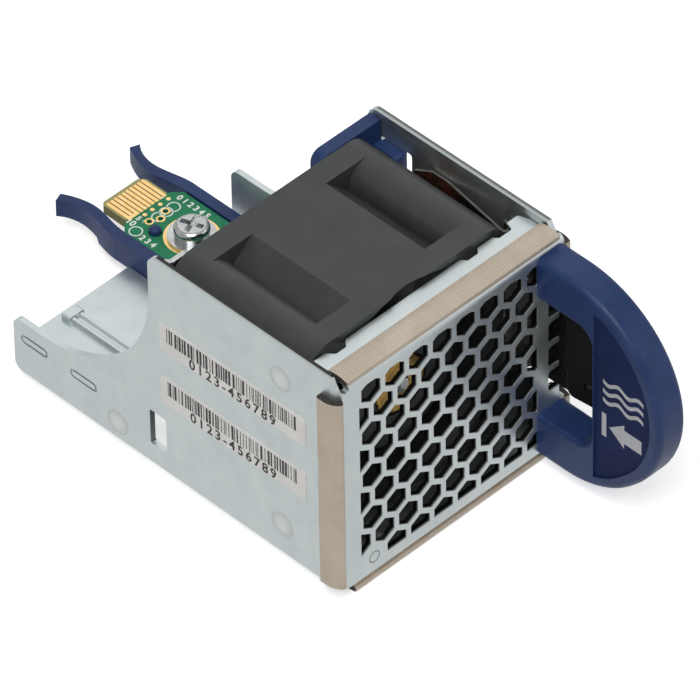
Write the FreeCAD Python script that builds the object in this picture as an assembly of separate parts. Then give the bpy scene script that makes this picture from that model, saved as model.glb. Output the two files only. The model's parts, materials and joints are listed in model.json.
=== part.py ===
import FreeCAD, Part
import math
import os

# Hot-swap fan module: a 40 mm axial fan held in a bent steel tray, with a pull
# handle and a sprung side latch in front and an edge connector at the back.
# Millimetres. X = 0 is mid-width, Y = 0 the front plate's outer face with +Y
# towards the back, Z = 0 the underside of the tray's floor, +Z up.
Vec = FreeCAD.Vector

# Steel tray
SHEET = 1.0
TRAY_WIDTH = 45.8
WALL_TOP = 41.2
PLATE_TOP = 39.8
WALL_PAST_FAN = 3.5
LOW_WALL_TOP = 10.2
FLOOR_LENGTH = 71.0
RAIL_SHORT_OF_FLOOR = 2.8
SWOOP_RADIUS = 23.4
RAIL_CORNER = 1.6
WALL_CORNER = 1.8
FLOOR_CORNER = 4.0
CORNER_BEND = 2.0
TOP_BEND = 1.6
FLOOR_BEND = 1.5
RELIEF_WIDTH = 1.5
FLANGE_DEPTH = 7.0
TOP_RELIEF = 3.0
WALL_CHAMFER = 1.6
HALF = TRAY_WIDTH / 2
INNER = HALF - SHEET
LOW_WALL_LENGTH = FLOOR_LENGTH - RAIL_SHORT_OF_FLOOR

# Plate rivet and the marks pressed into the left wall
RIVET_X = -16.3
RIVET_Z = 2.7
RIVET_RADIUS = 1.0
RIVET_FLANGE_WIDTH = 6.4
DIMPLES = ((11.8, 34.5), (12.1, 5.6), (46.3, 3.2))
DIMPLE_RADIUS = 2.2
DIMPLE_HEIGHT = 0.3
LANCES = (53.4, 63.8)
LANCE_Z = 6.9
LANCE_LENGTH = 5.7
LANCE_WIDTH = 1.7
LANCE_GROOVE = 0.4
LANCE_DEPTH = 0.3
PORT_GAP = 0.7
PORT_LENGTH = 3.4
PORT_BOTTOM = 3.7
PORT_TOP = 10.4

# Bead along the floor
RIB_LEFT = -11.5
RIB_WIDTH = 2.7
RIB_HEIGHT = 0.7
RIB_START = 44.0
RIB_SHORT_OF_FLOOR = 1.0
RIB_END_LENGTH = 1.6

# Honeycomb air inlet
HEX_PITCH = 4.8
HEX_WEB = 0.95
GRILLE_LEFT = -18.92
GRILLE_RIGHT = 17.4
GRILLE_BOTTOM = 2.0
GRILLE_TOP = 37.5
HEX_ROW_Z = 27.47
SMALLEST_HOLE = 0.6
SLOT_LEFT = 19.56
SLOT_PITCH = 4.8
SLOT_HEIGHT = 3.9
SLOT_TOP_Z = 27.3
SLOT_COUNT = 4

# Fan
FAN_SIZE = 40.0
FAN_DEPTH = 28.0
FAN_FRONT = 7.3
FAN_SIDE_GAP = 0.2
FAN_FLANGE = 4.0
FAN_CORNER = 4.0
FAN_HOLE_SPACING = 32.0
FAN_HOLE_RADIUS = 1.75
BORE_RADIUS = 18.9
BARREL_WALL = 1.0
FLAT_HALF_WIDTH = 7.5
INLET_ROUND = 1.4
TIP_GAP = 0.5
BLADES = 7
BLADE_THICKNESS = 0.9
BLADE_INSET = 3.2
HUB_RADIUS = 11.0
HUB_WALL = 1.0
HUB_SETBACK = 1.6
HUB_WINDOW = 5.2
STRUTS = 5
STRUT_THICKNESS = 1.3
STRUT_DEPTH = 3.8
STRUT_ROOT = 0.1
FAN_X = -INNER + FAN_SIDE_GAP + FAN_SIZE / 2
FAN_Z = SHEET + FAN_SIZE / 2
FAN_BACK = FAN_FRONT + FAN_DEPTH
TALL_WALL_LENGTH = FAN_BACK + WALL_PAST_FAN

# Motor, from the base of the housing forwards
MOTOR_BASE = 2.2
BASE_RIM = 1.2
BASE_RIM_WALL = 0.8
DRIVE_BOARD = 0.9
DRIVE_BOARD_GAP = 0.3
BOARD_TO_HUB = 1.1
FACE_WALL = 1.2
YOKE_WALL = 0.7
YOKE_SHORT_OF_HUB = 0.4
MAGNET_WALL = 1.2
MAGNET_LENGTH = 11.0
MAGNET_SETBACK = 0.6
AIR_GAP = 0.35
STACK_LENGTH = 8.0
STACK_COLLAR = 0.9
POLES = 4
POLE_WIDTH = 2.4
POLE_SHOE = 0.8
POLE_GAP = 1.4
COIL_BUILD = 0.75
SHAFT_RADIUS = 1.5
RACE_GAP = 0.05
RACE_SPLIT = 2.1
BEARING_RADIUS = 3.0
BEARING_WIDTH = 2.5
BEARING_INSET = 1.5
SLEEVE_WALL = 0.6
SLEEVE_STEP = 0.5
SLEEVE_BACK_GAP = 0.6
YOKE_TO_SLEEVE = 4.4
BOSS_RADIUS = 5.0
NECK_RADIUS = 2.6
WASHER_SPACE = 0.5
WASHER_SHEET = 0.2
CLIP_SHEET = 0.4
CLIP_GROOVE = 0.3
CLIP_RIM = 0.8
BASE_FRONT = FAN_BACK - MOTOR_BASE
DRIVE_BOARD_FRONT = BASE_FRONT - BASE_RIM - DRIVE_BOARD
HUB_FRONT = FAN_FRONT + HUB_SETBACK
HUB_BACK = DRIVE_BOARD_FRONT - BOARD_TO_HUB
HUB_LENGTH = HUB_BACK - HUB_FRONT
YOKE_FRONT = HUB_FRONT + FACE_WALL
YOKE_OUTER = HUB_RADIUS - HUB_WALL
YOKE_INNER = YOKE_OUTER - YOKE_WALL
MAGNET_INNER = YOKE_INNER - MAGNET_WALL
STACK_RADIUS = MAGNET_INNER - AIR_GAP
MAGNET_FRONT = HUB_BACK - MAGNET_SETBACK - MAGNET_LENGTH
STACK_FRONT = MAGNET_FRONT + (MAGNET_LENGTH - STACK_LENGTH) / 2
SLEEVE_RADIUS = BEARING_RADIUS + SLEEVE_WALL
SLEEVE_BACK = FAN_BACK - SLEEVE_BACK_GAP
SLEEVE_FRONT = YOKE_FRONT + YOKE_TO_SLEEVE
BEARING_STARTS = (SLEEVE_FRONT + BEARING_INSET, SLEEVE_BACK - BEARING_INSET - BEARING_WIDTH)
BOSS_BACK = BEARING_STARTS[0] - WASHER_SPACE
CLIP_Y = BEARING_STARTS[1] + BEARING_WIDTH + 0.1

# Handle
HANDLE_LEFT = 17.2
HANDLE_RIGHT = 22.8
HANDLE_REACH = 24.5
HANDLE_TOP = 38.7
HANDLE_BOTTOM = 0.0
GRIP_REACH = 10.7
GRIP_BOTTOM = 7.9
GRIP_TOP = 31.0
GRIP_CORNER = 3.0
GRIP_ROUND = 0.7
HANDLE_ROUND = 1.1
CROWN_RADIUS = 19.3
CHIN_RADIUS = 18.7
CHIN_LEAN = 44.0
HEEL_RADIUS = 18.0
PANEL_INSET = 2.0
PANEL_DEPTH = 0.35
PANEL_FROM_GRIP = 0.6
HANDLE_SCREW_RADIUS = 1.25
HANDLE_SCREW_DEPTH = 5.5
HANDLE_SCREW_HEAD = 2.1
HANDLE_SCREW_X = 19.6
HANDLE_LEGS_Z = ((GRIP_TOP + HANDLE_TOP) / 2, (GRIP_BOTTOM + HANDLE_BOTTOM) / 2)

# Latch
LEAF_THICKNESS = 0.4
LEAF_BOTTOM = 9.0
LEAF_TOP = 37.0
LATCH_TOP = 27.0
LATCH_ROOT_Y = 23.6
LATCH_ROOT_HALF = 1.6
LATCH_GAP = 0.2
LATCH_DIP_X = 19.45
LATCH_DIP_Y = 8.9
LATCH_RIVET_Z = (15.0, 31.0)
LATCH_RIVET_HEAD = 1.7
CATCH_REACH = 0.6
CATCH_BOTTOM = 13.0
CATCH_HEIGHT = 10.0
NOTCH_DEPTH = 9.8
NOTCH_X = 21.8
NOTCH_CLEARANCE = 0.7
TAB_START = 0.6
TAB_LENGTH = 9.4
TAB_THICKNESS = 1.3
TAB_SPLAY = 6.0
TAB_GRIP_START = 1.4

# Rear angle that stops the fan
RETAINER_SHEET = 0.8
RETAINER_BEND = 1.3
RETAINER_LEG = 3.1
RETAINER_WIDTH = 4.9
RETAINER_STRIP = 1.6
RETAINER_BOTTOM = 11.0
RETAINER_LEG_TOP = 33.0
RETAINER_TOP = 40.5
RETAINER_GAP = 0.2
PASSAGE_LEFT = -21.2
PASSAGE_RIGHT = -14.8
PASSAGE_GAP = 2.2
PASSAGE_LENGTH = 10.5

# Rear carrier and edge connector board
ARM_LEFT = 3.3
ARM_WIDTH = 1.9
CARRIER_MID = 11.6
ARM_TOP = 4.75
CARRIER_BOTTOM = 0.3
BRACE_FRONT_GAP = 0.7
BRACE_THICKNESS = 2.2
BRACE_TOP = 40.3
BRACE_LEFT = 9.4
BRACE_RING = 0.5
CUTOUT_GAP = 5.7
STRIP_DEPTH = 4.8
FIT_GAP = 0.2
BOARD_TOP = 4.4
BOARD_THICKNESS = 1.57
BOARD_START = 3.5
BOARD_PAST_FLOOR = 4.4
ARMS_START = 7.0
TONGUE_WIDTH = 8.5
TONGUE_LENGTH = 5.8
FINGERS = 10
FINGER_PITCH = 0.8
FINGER_WIDTH = 0.6
FINGER_LENGTH = 5.1
FINGER_END_GAP = 0.6
FINGER_THICKNESS = 0.05
TEST_HOLES = ((12.9, 2.3), (11.2, 3.0), (9.6, 2.2))
TEST_HOLE_RADIUS = 0.45
SCREW_X = 11.8
SCREW_FROM_END = 4.7
SCREW_RADIUS = 1.5
SCREW_HEAD_RADIUS = 2.8
SCREW_HEAD_HEIGHT = 2.1
SCREW_CROSS = 1.9
SCREW_SLOT = 0.45
SCREW_TURN = 20
INSERT_RADIUS = 2.2
WASHER_RADIUS = 3.8
WASHER_THICKNESS = 0.5
PIN_X = 8.6
PIN_FROM_END = 0.1
PIN_RADIUS = 0.95
PIN_RISE = 1.0
WINDOW_PAST_FAN = 0.9
WINDOW_LENGTH = 6.3
WINDOW_BOTTOM = 30.0
WINDOW_TOP = 36.9
CUTOUT_START = FAN_BACK + CUTOUT_GAP
ARM_START = CUTOUT_START + ARMS_START
BASE_BACK = FLOOR_LENGTH + 3.0
BOARD_FRONT = CUTOUT_START + BOARD_START
BOARD_BACK = FLOOR_LENGTH + BOARD_PAST_FLOOR
TONGUE_END = BOARD_BACK + TONGUE_LENGTH
SCREW_Y = FLOOR_LENGTH - SCREW_FROM_END
PIN_Y = FLOOR_LENGTH - PIN_FROM_END
BED = BOARD_TOP - BOARD_THICKNESS
WINDOW_BACK = FAN_BACK + WINDOW_PAST_FAN
WINDOW_FRONT = WINDOW_BACK - WINDOW_LENGTH

# Leads from the fan to the connector board
LEADS = ("lead_red", "lead_black", "lead_yellow", "lead_blue")
LEAD_RADIUS = 0.5
LEAD_X = 18.85
LEAD_SIDE_STEP = 1.15
LEAD_BACK_STEP = 1.3
LEAD_UP_STEP = 1.15
LEAD_DOOR_LEFT = 18.2
LEAD_DOOR_TOP = 4.4
LEAD_DOOR_DEPTH = 9.0
LEAD_HOLE_GAP = 4.1
LEAD_HOLE_PITCH = 2.0

# Conductive fabric gaskets
GASKET_WIDTH = 3.9
GASKET_THICKNESS = 1.1
GASKET_CROWN = 0.35
GASKET_FORWARD = 0.2
GASKET_WRAP = 58.0
GASKET_ADHESIVE = 0.05
SIDE_GASKET_BOTTOM = 1.0
LEFT_GASKET_TOP = 37.3
LEFT_GASKET_BACK = 3.6
RIGHT_GASKET_TOP = 38.4
RIGHT_GASKET_FRONT = -0.4
FOAM_THICKNESS = 0.75
FOAM_INSET = 0.4
LOWER_GASKET_LEFT = -20.3
LOWER_GASKET_RIGHT = 19.3


def box(x0, x1, y0, y1, z0, z1):
    return Part.makeBox(x1 - x0, y1 - y0, z1 - z0, Vec(x0, y0, z0))


def rod(centre, direction, radius, length):
    return Part.makeCylinder(radius, length, centre, direction)


def tube(centre, direction, outer, inner, length):
    return rod(centre, direction, outer, length).cut(rod(centre, direction, inner, length))


def fan_axis_point(y):
    return Vec(FAN_X, y, FAN_Z)


def face_from(edges):
    return Part.Face(Part.Wire(Part.__sortEdges__(edges)))


def polygon_edges(points):
    closed = points + [points[0]]
    return [Part.LineSegment(a, b).toShape() for a, b in zip(closed, closed[1:])]


def slab(points, direction):
    return face_from(polygon_edges(points)).extrude(direction)


def line(a, b):
    return Part.LineSegment(a, b).toShape()


def arc(a, b, c):
    return Part.Arc(a, b, c).toShape()


def curve(points):
    spline = Part.BSplineCurve()
    spline.interpolate(points)
    return spline.toShape()


def edges_along(shape, axis, test):
    """Straight edges parallel to an axis whose middle point passes a test."""
    found = []
    for edge in shape.Edges:
        if edge.Curve.TypeId != "Part::GeomLine":
            continue
        if abs(abs(edge.Curve.Direction.dot(axis)) - 1) > 1e-6:
            continue
        if test(edge.CenterOfMass):
            found.append(edge)
    return found


X_AXIS = Vec(1, 0, 0)
Y_AXIS = Vec(0, 1, 0)
Z_AXIS = Vec(0, 0, 1)


def soften(shape, axis, radius, test=lambda point: True):
    return shape.makeFillet(radius, edges_along(shape, axis, test))


def turned(points):
    """Solid turned about the fan's axis from a section of (radius, y) points."""
    section = polygon_edges([Vec(FAN_X + r, y, FAN_Z) for r, y in points])
    return face_from(section).revolve(fan_axis_point(0), Y_AXIS, 360)


def wall_envelope(x0, x1, front):
    """All that lies below a side wall's outline: tall beside the fan, a sweep, then a low rail."""
    tall = box(x0, x1, front, TALL_WALL_LENGTH, 0, WALL_TOP)
    chamfer_back = front + WALL_CHAMFER
    chamfer = slab([Vec(x0 - 1, front, WALL_TOP - TOP_RELIEF), Vec(x0 - 1, front, WALL_TOP + 1),
                    Vec(x0 - 1, chamfer_back, WALL_TOP + 1), Vec(x0 - 1, chamfer_back, WALL_TOP)],
                   Vec(x1 - x0 + 2, 0, 0))
    rail = box(x0, x1, front, LOW_WALL_LENGTH, 0, LOW_WALL_TOP)
    sweep_end = min(TALL_WALL_LENGTH + SWOOP_RADIUS, LOW_WALL_LENGTH)
    web = box(x0, x1, TALL_WALL_LENGTH - 1, sweep_end, LOW_WALL_TOP - 1, LOW_WALL_TOP + SWOOP_RADIUS)
    scoop = Vec(x0 - 1, TALL_WALL_LENGTH + SWOOP_RADIUS, LOW_WALL_TOP + SWOOP_RADIUS)
    web = web.cut(rod(scoop, X_AXIS, SWOOP_RADIUS, x1 - x0 + 2))
    outline = tall.cut(chamfer).fuse([rail, web]).removeSplitter()
    outline = soften(outline, X_AXIS, RAIL_CORNER, lambda p: p.y > LOW_WALL_LENGTH - 0.1)
    return soften(outline, X_AXIS, WALL_CORNER,
                  lambda p: abs(p.y - TALL_WALL_LENGTH) < 0.1 and p.z > WALL_TOP - 0.1)


def hexagon(x, z):
    """One pointy-topped hole of the honeycomb, as a prism through the plate."""
    reach = (HEX_PITCH - HEX_WEB) / math.sqrt(3)
    corners = []
    for k in range(6):
        angle = math.radians(30 + 60 * k)
        corners.append(Vec(x + reach * math.cos(angle), -SHEET, z + reach * math.sin(angle)))
    return slab(corners, Vec(0, 3 * SHEET, 0))


def honeycomb():
    rise = HEX_PITCH * math.sqrt(3) / 2
    window = box(GRILLE_LEFT, GRILLE_RIGHT, -2, 3, GRILLE_BOTTOM, GRILLE_TOP)
    columns = int((GRILLE_RIGHT - GRILLE_LEFT) / (HEX_PITCH / 2)) + 1
    holes = []
    row = -3
    while HEX_ROW_Z - row * rise > GRILLE_BOTTOM - rise:
        z = HEX_ROW_Z - row * rise
        for column in range(columns):
            if (column + row) % 2 == 0:
                continue
            x = GRILLE_LEFT + column * HEX_PITCH / 2
            hole = hexagon(x, z).common(window)
            if hole.Volume > 3 * SHEET * SMALLEST_HOLE and not covers_rivet(x, z):
                holes.append(hole)
        row += 1
    return Part.makeCompound(holes)


def covers_rivet(x, z):
    return math.hypot(x - RIVET_X, z - RIVET_Z) < HEX_PITCH / 2


def side_slots():
    slots = []
    for k in range(SLOT_COUNT):
        z = SLOT_TOP_Z - k * SLOT_PITCH
        slot = box(SLOT_LEFT, NOTCH_X + 0.1, -1, 2, z - SLOT_HEIGHT / 2, z + SLOT_HEIGHT / 2)
        slots.append(soften(slot, Y_AXIS, 0.7, lambda p: p.x < SLOT_LEFT + 0.1))
    return Part.makeCompound(slots)


def latch_notch():
    """Open corner of plate and wall that the latch spring passes through."""
    return box(NOTCH_X, HALF + 1, -1, NOTCH_DEPTH,
               LEAF_BOTTOM - NOTCH_CLEARANCE, LATCH_TOP + NOTCH_CLEARANCE)


def top_flange_outline():
    """Block in plan over the top flange, with the notches and the tab of its back edge."""
    back = FLANGE_DEPTH
    side = INNER - 0.1
    outline = [Vec(-side, -1, 0), Vec(-side, back, 0), Vec(-18.6, back, 0), Vec(-17.6, back - 1.2, 0),
               Vec(-15.6, back - 1.2, 0), Vec(-14.6, back, 0), Vec(8.6, back, 0), Vec(9.3, back - 0.9, 0),
               Vec(11.4, back - 0.9, 0), Vec(12.1, back, 0), Vec(15.2, back, 0), Vec(15.8, back - 0.8, 0),
               Vec(18.4, back - 0.8, 0), Vec(18.9, back + 0.7, 0), Vec(side - 0.7, back + 0.7, 0),
               Vec(side, back - 1.2, 0), Vec(side, SHEET, 0), Vec(HALF, SHEET, 0), Vec(HALF, -1, 0)]
    block = slab(outline, Vec(0, 0, WALL_TOP + 1))
    return soften(block, Z_AXIS, 0.4, lambda p: p.y > TOP_BEND)


def bent_section(leg_u, leg_v, radius, place, sheet=SHEET):
    """L-shaped sheet section with a rounded bend; place maps (u, v) into space."""
    inner = radius - sheet
    slant = math.sqrt(0.5)
    out_mid = radius * (1 - slant)
    in_mid = radius - inner * slant
    flat = [place(radius, 0), place(leg_u, 0), place(leg_u, sheet), place(radius, sheet)]
    rise = [place(sheet, radius), place(sheet, leg_v), place(0, leg_v), place(0, radius)]
    edges = [line(a, b) for a, b in zip(flat, flat[1:])]
    edges.append(arc(flat[3], place(in_mid, in_mid), rise[0]))
    edges += [line(a, b) for a, b in zip(rise, rise[1:])]
    edges.append(arc(rise[3], place(out_mid, out_mid), flat[0]))
    return face_from(edges)


def front_shell():
    """Front plate, left wall and top flange, bent from one sheet."""
    corner = bent_section(TRAY_WIDTH, LOW_WALL_LENGTH, CORNER_BEND, lambda u, v: Vec(-HALF + u, v, 0))
    corner = corner.extrude(Vec(0, 0, WALL_TOP))
    bend_x = -HALF + CORNER_BEND
    plate = corner.common(box(bend_x, HALF, -1, 5, 0, PLATE_TOP - TOP_BEND))
    wall = corner.common(wall_envelope(-HALF - 1, bend_x, 0))
    section = bent_section(FLANGE_DEPTH + 1, TOP_BEND + 1, TOP_BEND,
                           lambda u, v: Vec(bend_x, u, PLATE_TOP - v))
    brow = section.extrude(Vec(HALF - bend_x, 0, 0))
    brow = brow.common(top_flange_outline())
    shell = plate.fuse([wall, brow] + [dimple(y, z) for y, z in DIMPLES]).removeSplitter()
    hollows = [dimple(y, z) for y, z in DIMPLES]
    for hollow in hollows:
        hollow.translate(Vec(SHEET, 0, 0))
    holes = [rod(Vec(RIVET_X, -1, RIVET_Z), Y_AXIS, RIVET_RADIUS, 4)]
    holes += [rod(Vec(HANDLE_SCREW_X, -1, z), Y_AXIS, HANDLE_SCREW_RADIUS + 0.1, 4) for z in HANDLE_LEGS_Z]
    shell = shell.cut([honeycomb(), side_slots(), latch_notch(), corner_relief()] + holes)
    return shell.cut([wall_port()] + [lance(y) for y in LANCES] + hollows)


def dimple(y, z):
    """Low round bump pressed out of the left wall."""
    cap = (DIMPLE_RADIUS ** 2 + DIMPLE_HEIGHT ** 2) / (2 * DIMPLE_HEIGHT)
    ball = Part.makeSphere(cap, Vec(-HALF - DIMPLE_HEIGHT + cap, y, z))
    return ball.common(box(-HALF - 1, -HALF, y - 5, y + 5, z - 5, z + 5))


def slot_prism(y, length, width, depth):
    """Round-ended bar that stands on the left wall's outer face."""
    bar = box(-HALF - 1, -HALF + depth, y - length / 2, y + length / 2,
              LANCE_Z - width / 2, LANCE_Z + width / 2)
    return soften(bar, X_AXIS, width / 2 - 0.02)


def lance(y):
    """Groove round a half-sheared slot."""
    groove = slot_prism(y, LANCE_LENGTH, LANCE_WIDTH, LANCE_DEPTH)
    return groove.cut(slot_prism(y, LANCE_LENGTH - 2 * LANCE_GROOVE, LANCE_WIDTH - 2 * LANCE_GROOVE, 1))


def wall_port():
    """Small square window low in the left wall, just behind the fan."""
    front = FAN_BACK + PORT_GAP
    port = box(-HALF - 1, -INNER + 1, front, front + PORT_LENGTH, PORT_BOTTOM, PORT_TOP)
    return soften(port, X_AXIS, 0.4)


def corner_relief():
    """U-shaped slot that frees the top bend from the corner bend."""
    x = -HALF + CORNER_BEND - RELIEF_WIDTH / 2 + 0.2
    z = WALL_TOP - TOP_RELIEF + 0.2
    slot = rod(Vec(x, -1, z + RELIEF_WIDTH / 2), Y_AXIS, RELIEF_WIDTH / 2, 3.4)
    above = box(x - RELIEF_WIDTH / 2, x + RELIEF_WIDTH / 2, -1, 2.4, z + RELIEF_WIDTH / 2, WALL_TOP + 1)
    return slot.fuse(above)


def floor_rib(drop):
    """Double-ridged bead along the floor; lowered, the same shape makes its hollow underneath."""
    top = SHEET + RIB_HEIGHT - drop
    valley = top - RIB_HEIGHT / 2
    profile = [(0, -drop), (RIB_WIDTH, -drop), (RIB_WIDTH - 0.3, top), (RIB_WIDTH - 0.8, top),
               (RIB_WIDTH / 2 + 0.2, valley), (RIB_WIDTH / 2 - 0.2, valley), (0.8, top), (0.3, top)]
    length = FLOOR_LENGTH - RIB_SHORT_OF_FLOOR - RIB_START
    return slab([Vec(RIB_LEFT + x, RIB_START, z) for x, z in profile], Vec(0, length, 0))


def rib_end():
    """Folded block that closes the bead at the floor's back edge."""
    back = FLOOR_LENGTH - RIB_SHORT_OF_FLOOR
    block = box(RIB_LEFT - 0.2, RIB_LEFT + RIB_WIDTH + 0.2, back - RIB_END_LENGTH, back,
                SHEET / 2, SHEET + RIB_HEIGHT + 0.2)
    return soften(block, Y_AXIS, 0.4, lambda p: p.z > SHEET)


def base_tray():
    """Floor and right wall bent from one sheet, with the short flange behind the plate."""
    section = bent_section(TRAY_WIDTH - SHEET, WALL_TOP, FLOOR_BEND, lambda u, v: Vec(HALF - u, SHEET, v))
    tray = section.extrude(Vec(0, FLOOR_LENGTH - SHEET, 0))
    bend_x = HALF - FLOOR_BEND
    floor_part = tray.common(box(-HALF, bend_x, 0, FLOOR_LENGTH, -1, 5))
    wall_part = tray.common(wall_envelope(bend_x, HALF + 1, SHEET))
    tray = floor_part.fuse(wall_part).removeSplitter()
    tray = soften(tray, Z_AXIS, FLOOR_CORNER, lambda p: p.y > FLOOR_LENGTH - 0.1 and p.x < -INNER + 1)
    tray = soften(tray, Z_AXIS, CORNER_BEND, lambda p: p.y < SHEET + 0.1 and p.x < -INNER + 1)
    tray = tray.cut(floor_openings()).fuse(floor_rib(0)).cut(floor_rib(SHEET)).fuse(rib_end())
    flange = box(RIVET_X - RIVET_FLANGE_WIDTH / 2, RIVET_X + RIVET_FLANGE_WIDTH / 2, SHEET, 2 * SHEET,
                 0, RIVET_Z + 2.4)
    flange = soften(flange, Y_AXIS, 1.0, lambda p: p.z > RIVET_Z)
    window = box(INNER - 1, HALF + 1, WINDOW_FRONT, WINDOW_BACK, WINDOW_BOTTOM, WINDOW_TOP)
    window = soften(window, X_AXIS, 0.5)
    rivet_hole = rod(Vec(RIVET_X, -1, RIVET_Z), Y_AXIS, RIVET_RADIUS, 4)
    latch_holes = [rod(Vec(INNER - 1, LATCH_ROOT_Y, z), X_AXIS, RIVET_RADIUS, 3) for z in LATCH_RIVET_Z]
    return tray.fuse(flange).cut([window, latch_notch(), rivet_hole] + latch_holes).removeSplitter()


def floor_openings():
    """Bay for the carrier, the stepped back edge beside it and a passage by the left wall."""
    far = FLOOR_LENGTH + 1
    bay = box(ARM_LEFT - FIT_GAP, 2 * CARRIER_MID - ARM_LEFT + FIT_GAP, CUTOUT_START, far, -1, 3)
    step = box(ARM_LEFT, HALF - FLOOR_BEND + 0.01, FLOOR_LENGTH - STRIP_DEPTH, far, -1, 3)
    start = FAN_BACK + PASSAGE_GAP
    passage = box(PASSAGE_LEFT, PASSAGE_RIGHT, start, start + PASSAGE_LENGTH, -1, 3)
    return [bay, step, soften(passage, Z_AXIS, 1.0)]


def plate_rivet():
    """Flush rivet that joins the front plate to the floor's flange."""
    shank = rod(Vec(RIVET_X, 0, RIVET_Z), Y_AXIS, RIVET_RADIUS, 2 * SHEET)
    head = rod(Vec(RIVET_X, 2 * SHEET, RIVET_Z), Y_AXIS, 1.6 * RIVET_RADIUS, 0.5)
    return shank.fuse(head).removeSplitter()


def rear_retainer():
    """Thin plated angle on the left wall that stops the fan's back left corner."""
    front = FAN_BACK + RETAINER_GAP
    plan = bent_section(RETAINER_WIDTH, RETAINER_LEG, RETAINER_BEND,
                        lambda u, v: Vec(-INNER + u, front + v, RETAINER_BOTTOM), RETAINER_SHEET)
    angle = plan.extrude(Vec(0, 0, RETAINER_TOP - RETAINER_BOTTOM))
    low_front = box(-INNER + RETAINER_STRIP, 0, front - 1, front + 2, 0, RETAINER_LEG_TOP)
    high_leg = box(-HALF, 0, front + RETAINER_BEND, front + 9, RETAINER_LEG_TOP, WALL_TOP)
    angle = angle.cut([low_front, high_leg])
    return soften(angle, Y_AXIS, 1.5, lambda p: p.x > -INNER + RETAINER_WIDTH - 0.1)


def gasket_strip(width, thickness, length):
    """Fabric-over-foam strip: flat underside, crowned top, along +X."""
    side = thickness - GASKET_CROWN
    edges = [line(Vec(0, 0, side), Vec(0, 0, 0)), line(Vec(0, 0, 0), Vec(0, width, 0)),
             line(Vec(0, width, 0), Vec(0, width, side)),
             arc(Vec(0, width, side), Vec(0, width / 2, thickness), Vec(0, 0, side))]
    return face_from(edges).extrude(Vec(length, 0, 0))


def gasket_top():
    strip = gasket_strip(GASKET_WIDTH, GASKET_THICKNESS, 2 * INNER - 0.7)
    strip.translate(Vec(-INNER + 0.5, -GASKET_FORWARD, PLATE_TOP))
    return strip


def gasket_bottom():
    """Strip under the floor's front edge, on a narrower bed of foam."""
    length = LOWER_GASKET_RIGHT - LOWER_GASKET_LEFT
    strip = gasket_strip(GASKET_WIDTH, GASKET_THICKNESS, length)
    strip.rotate(Vec(0, 0, 0), X_AXIS, 180)
    front = SHEET - GASKET_THICKNESS
    strip.translate(Vec(LOWER_GASKET_LEFT, front + GASKET_WIDTH, -FOAM_THICKNESS))
    foam = box(LOWER_GASKET_LEFT, LOWER_GASKET_RIGHT, front + FOAM_INSET, front + GASKET_WIDTH - FOAM_INSET,
               -FOAM_THICKNESS, 0)
    return strip.fuse(foam).removeSplitter()


def gasket_left():
    """Strip on the left wall that wraps round the bend towards the plate."""
    inner = CORNER_BEND + GASKET_ADHESIVE
    outer = inner + GASKET_THICKNESS
    turn = math.radians(GASKET_WRAP)

    def at(radius, angle):
        return Vec(-HALF + CORNER_BEND - radius * math.cos(angle), CORNER_BEND - radius * math.sin(angle),
                   SIDE_GASKET_BOTTOM)

    straight = Vec(0, LEFT_GASKET_BACK - CORNER_BEND, 0)
    edges = [line(at(inner, 0) + straight, at(inner, 0)),
             arc(at(inner, 0), at(inner, turn / 2), at(inner, turn)),
             line(at(inner, turn), at(outer, turn)),
             arc(at(outer, turn), at(outer, turn / 2), at(outer, 0)),
             line(at(outer, 0), at(outer, 0) + straight),
             line(at(outer, 0) + straight, at(inner, 0) + straight)]
    strip = face_from(edges).extrude(Vec(0, 0, LEFT_GASKET_TOP - SIDE_GASKET_BOTTOM))
    ends = (at(outer, turn), at(outer, 0) + straight)
    return soften(strip, Z_AXIS, 0.45, lambda p: min(math.hypot(p.x - e.x, p.y - e.y) for e in ends) < 0.05)


def gasket_right():
    """Two strips on the right wall, one above and one below the latch."""
    reach = NOTCH_CLEARANCE + 0.3
    spans = ((SIDE_GASKET_BOTTOM + 0.6, LEAF_BOTTOM - reach), (LATCH_TOP + reach, RIGHT_GASKET_TOP))
    strips = []
    for bottom, top in spans:
        strip = gasket_strip(GASKET_WIDTH, GASKET_THICKNESS, top - bottom)
        strip.rotate(Vec(0, 0, 0), Y_AXIS, -90)
        strip.rotate(Vec(0, 0, 0), Z_AXIS, 180)
        strip.translate(Vec(HALF, RIGHT_GASKET_FRONT + GASKET_WIDTH, bottom))
        strips.append(strip)
    return Part.makeCompound(strips)


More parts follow.
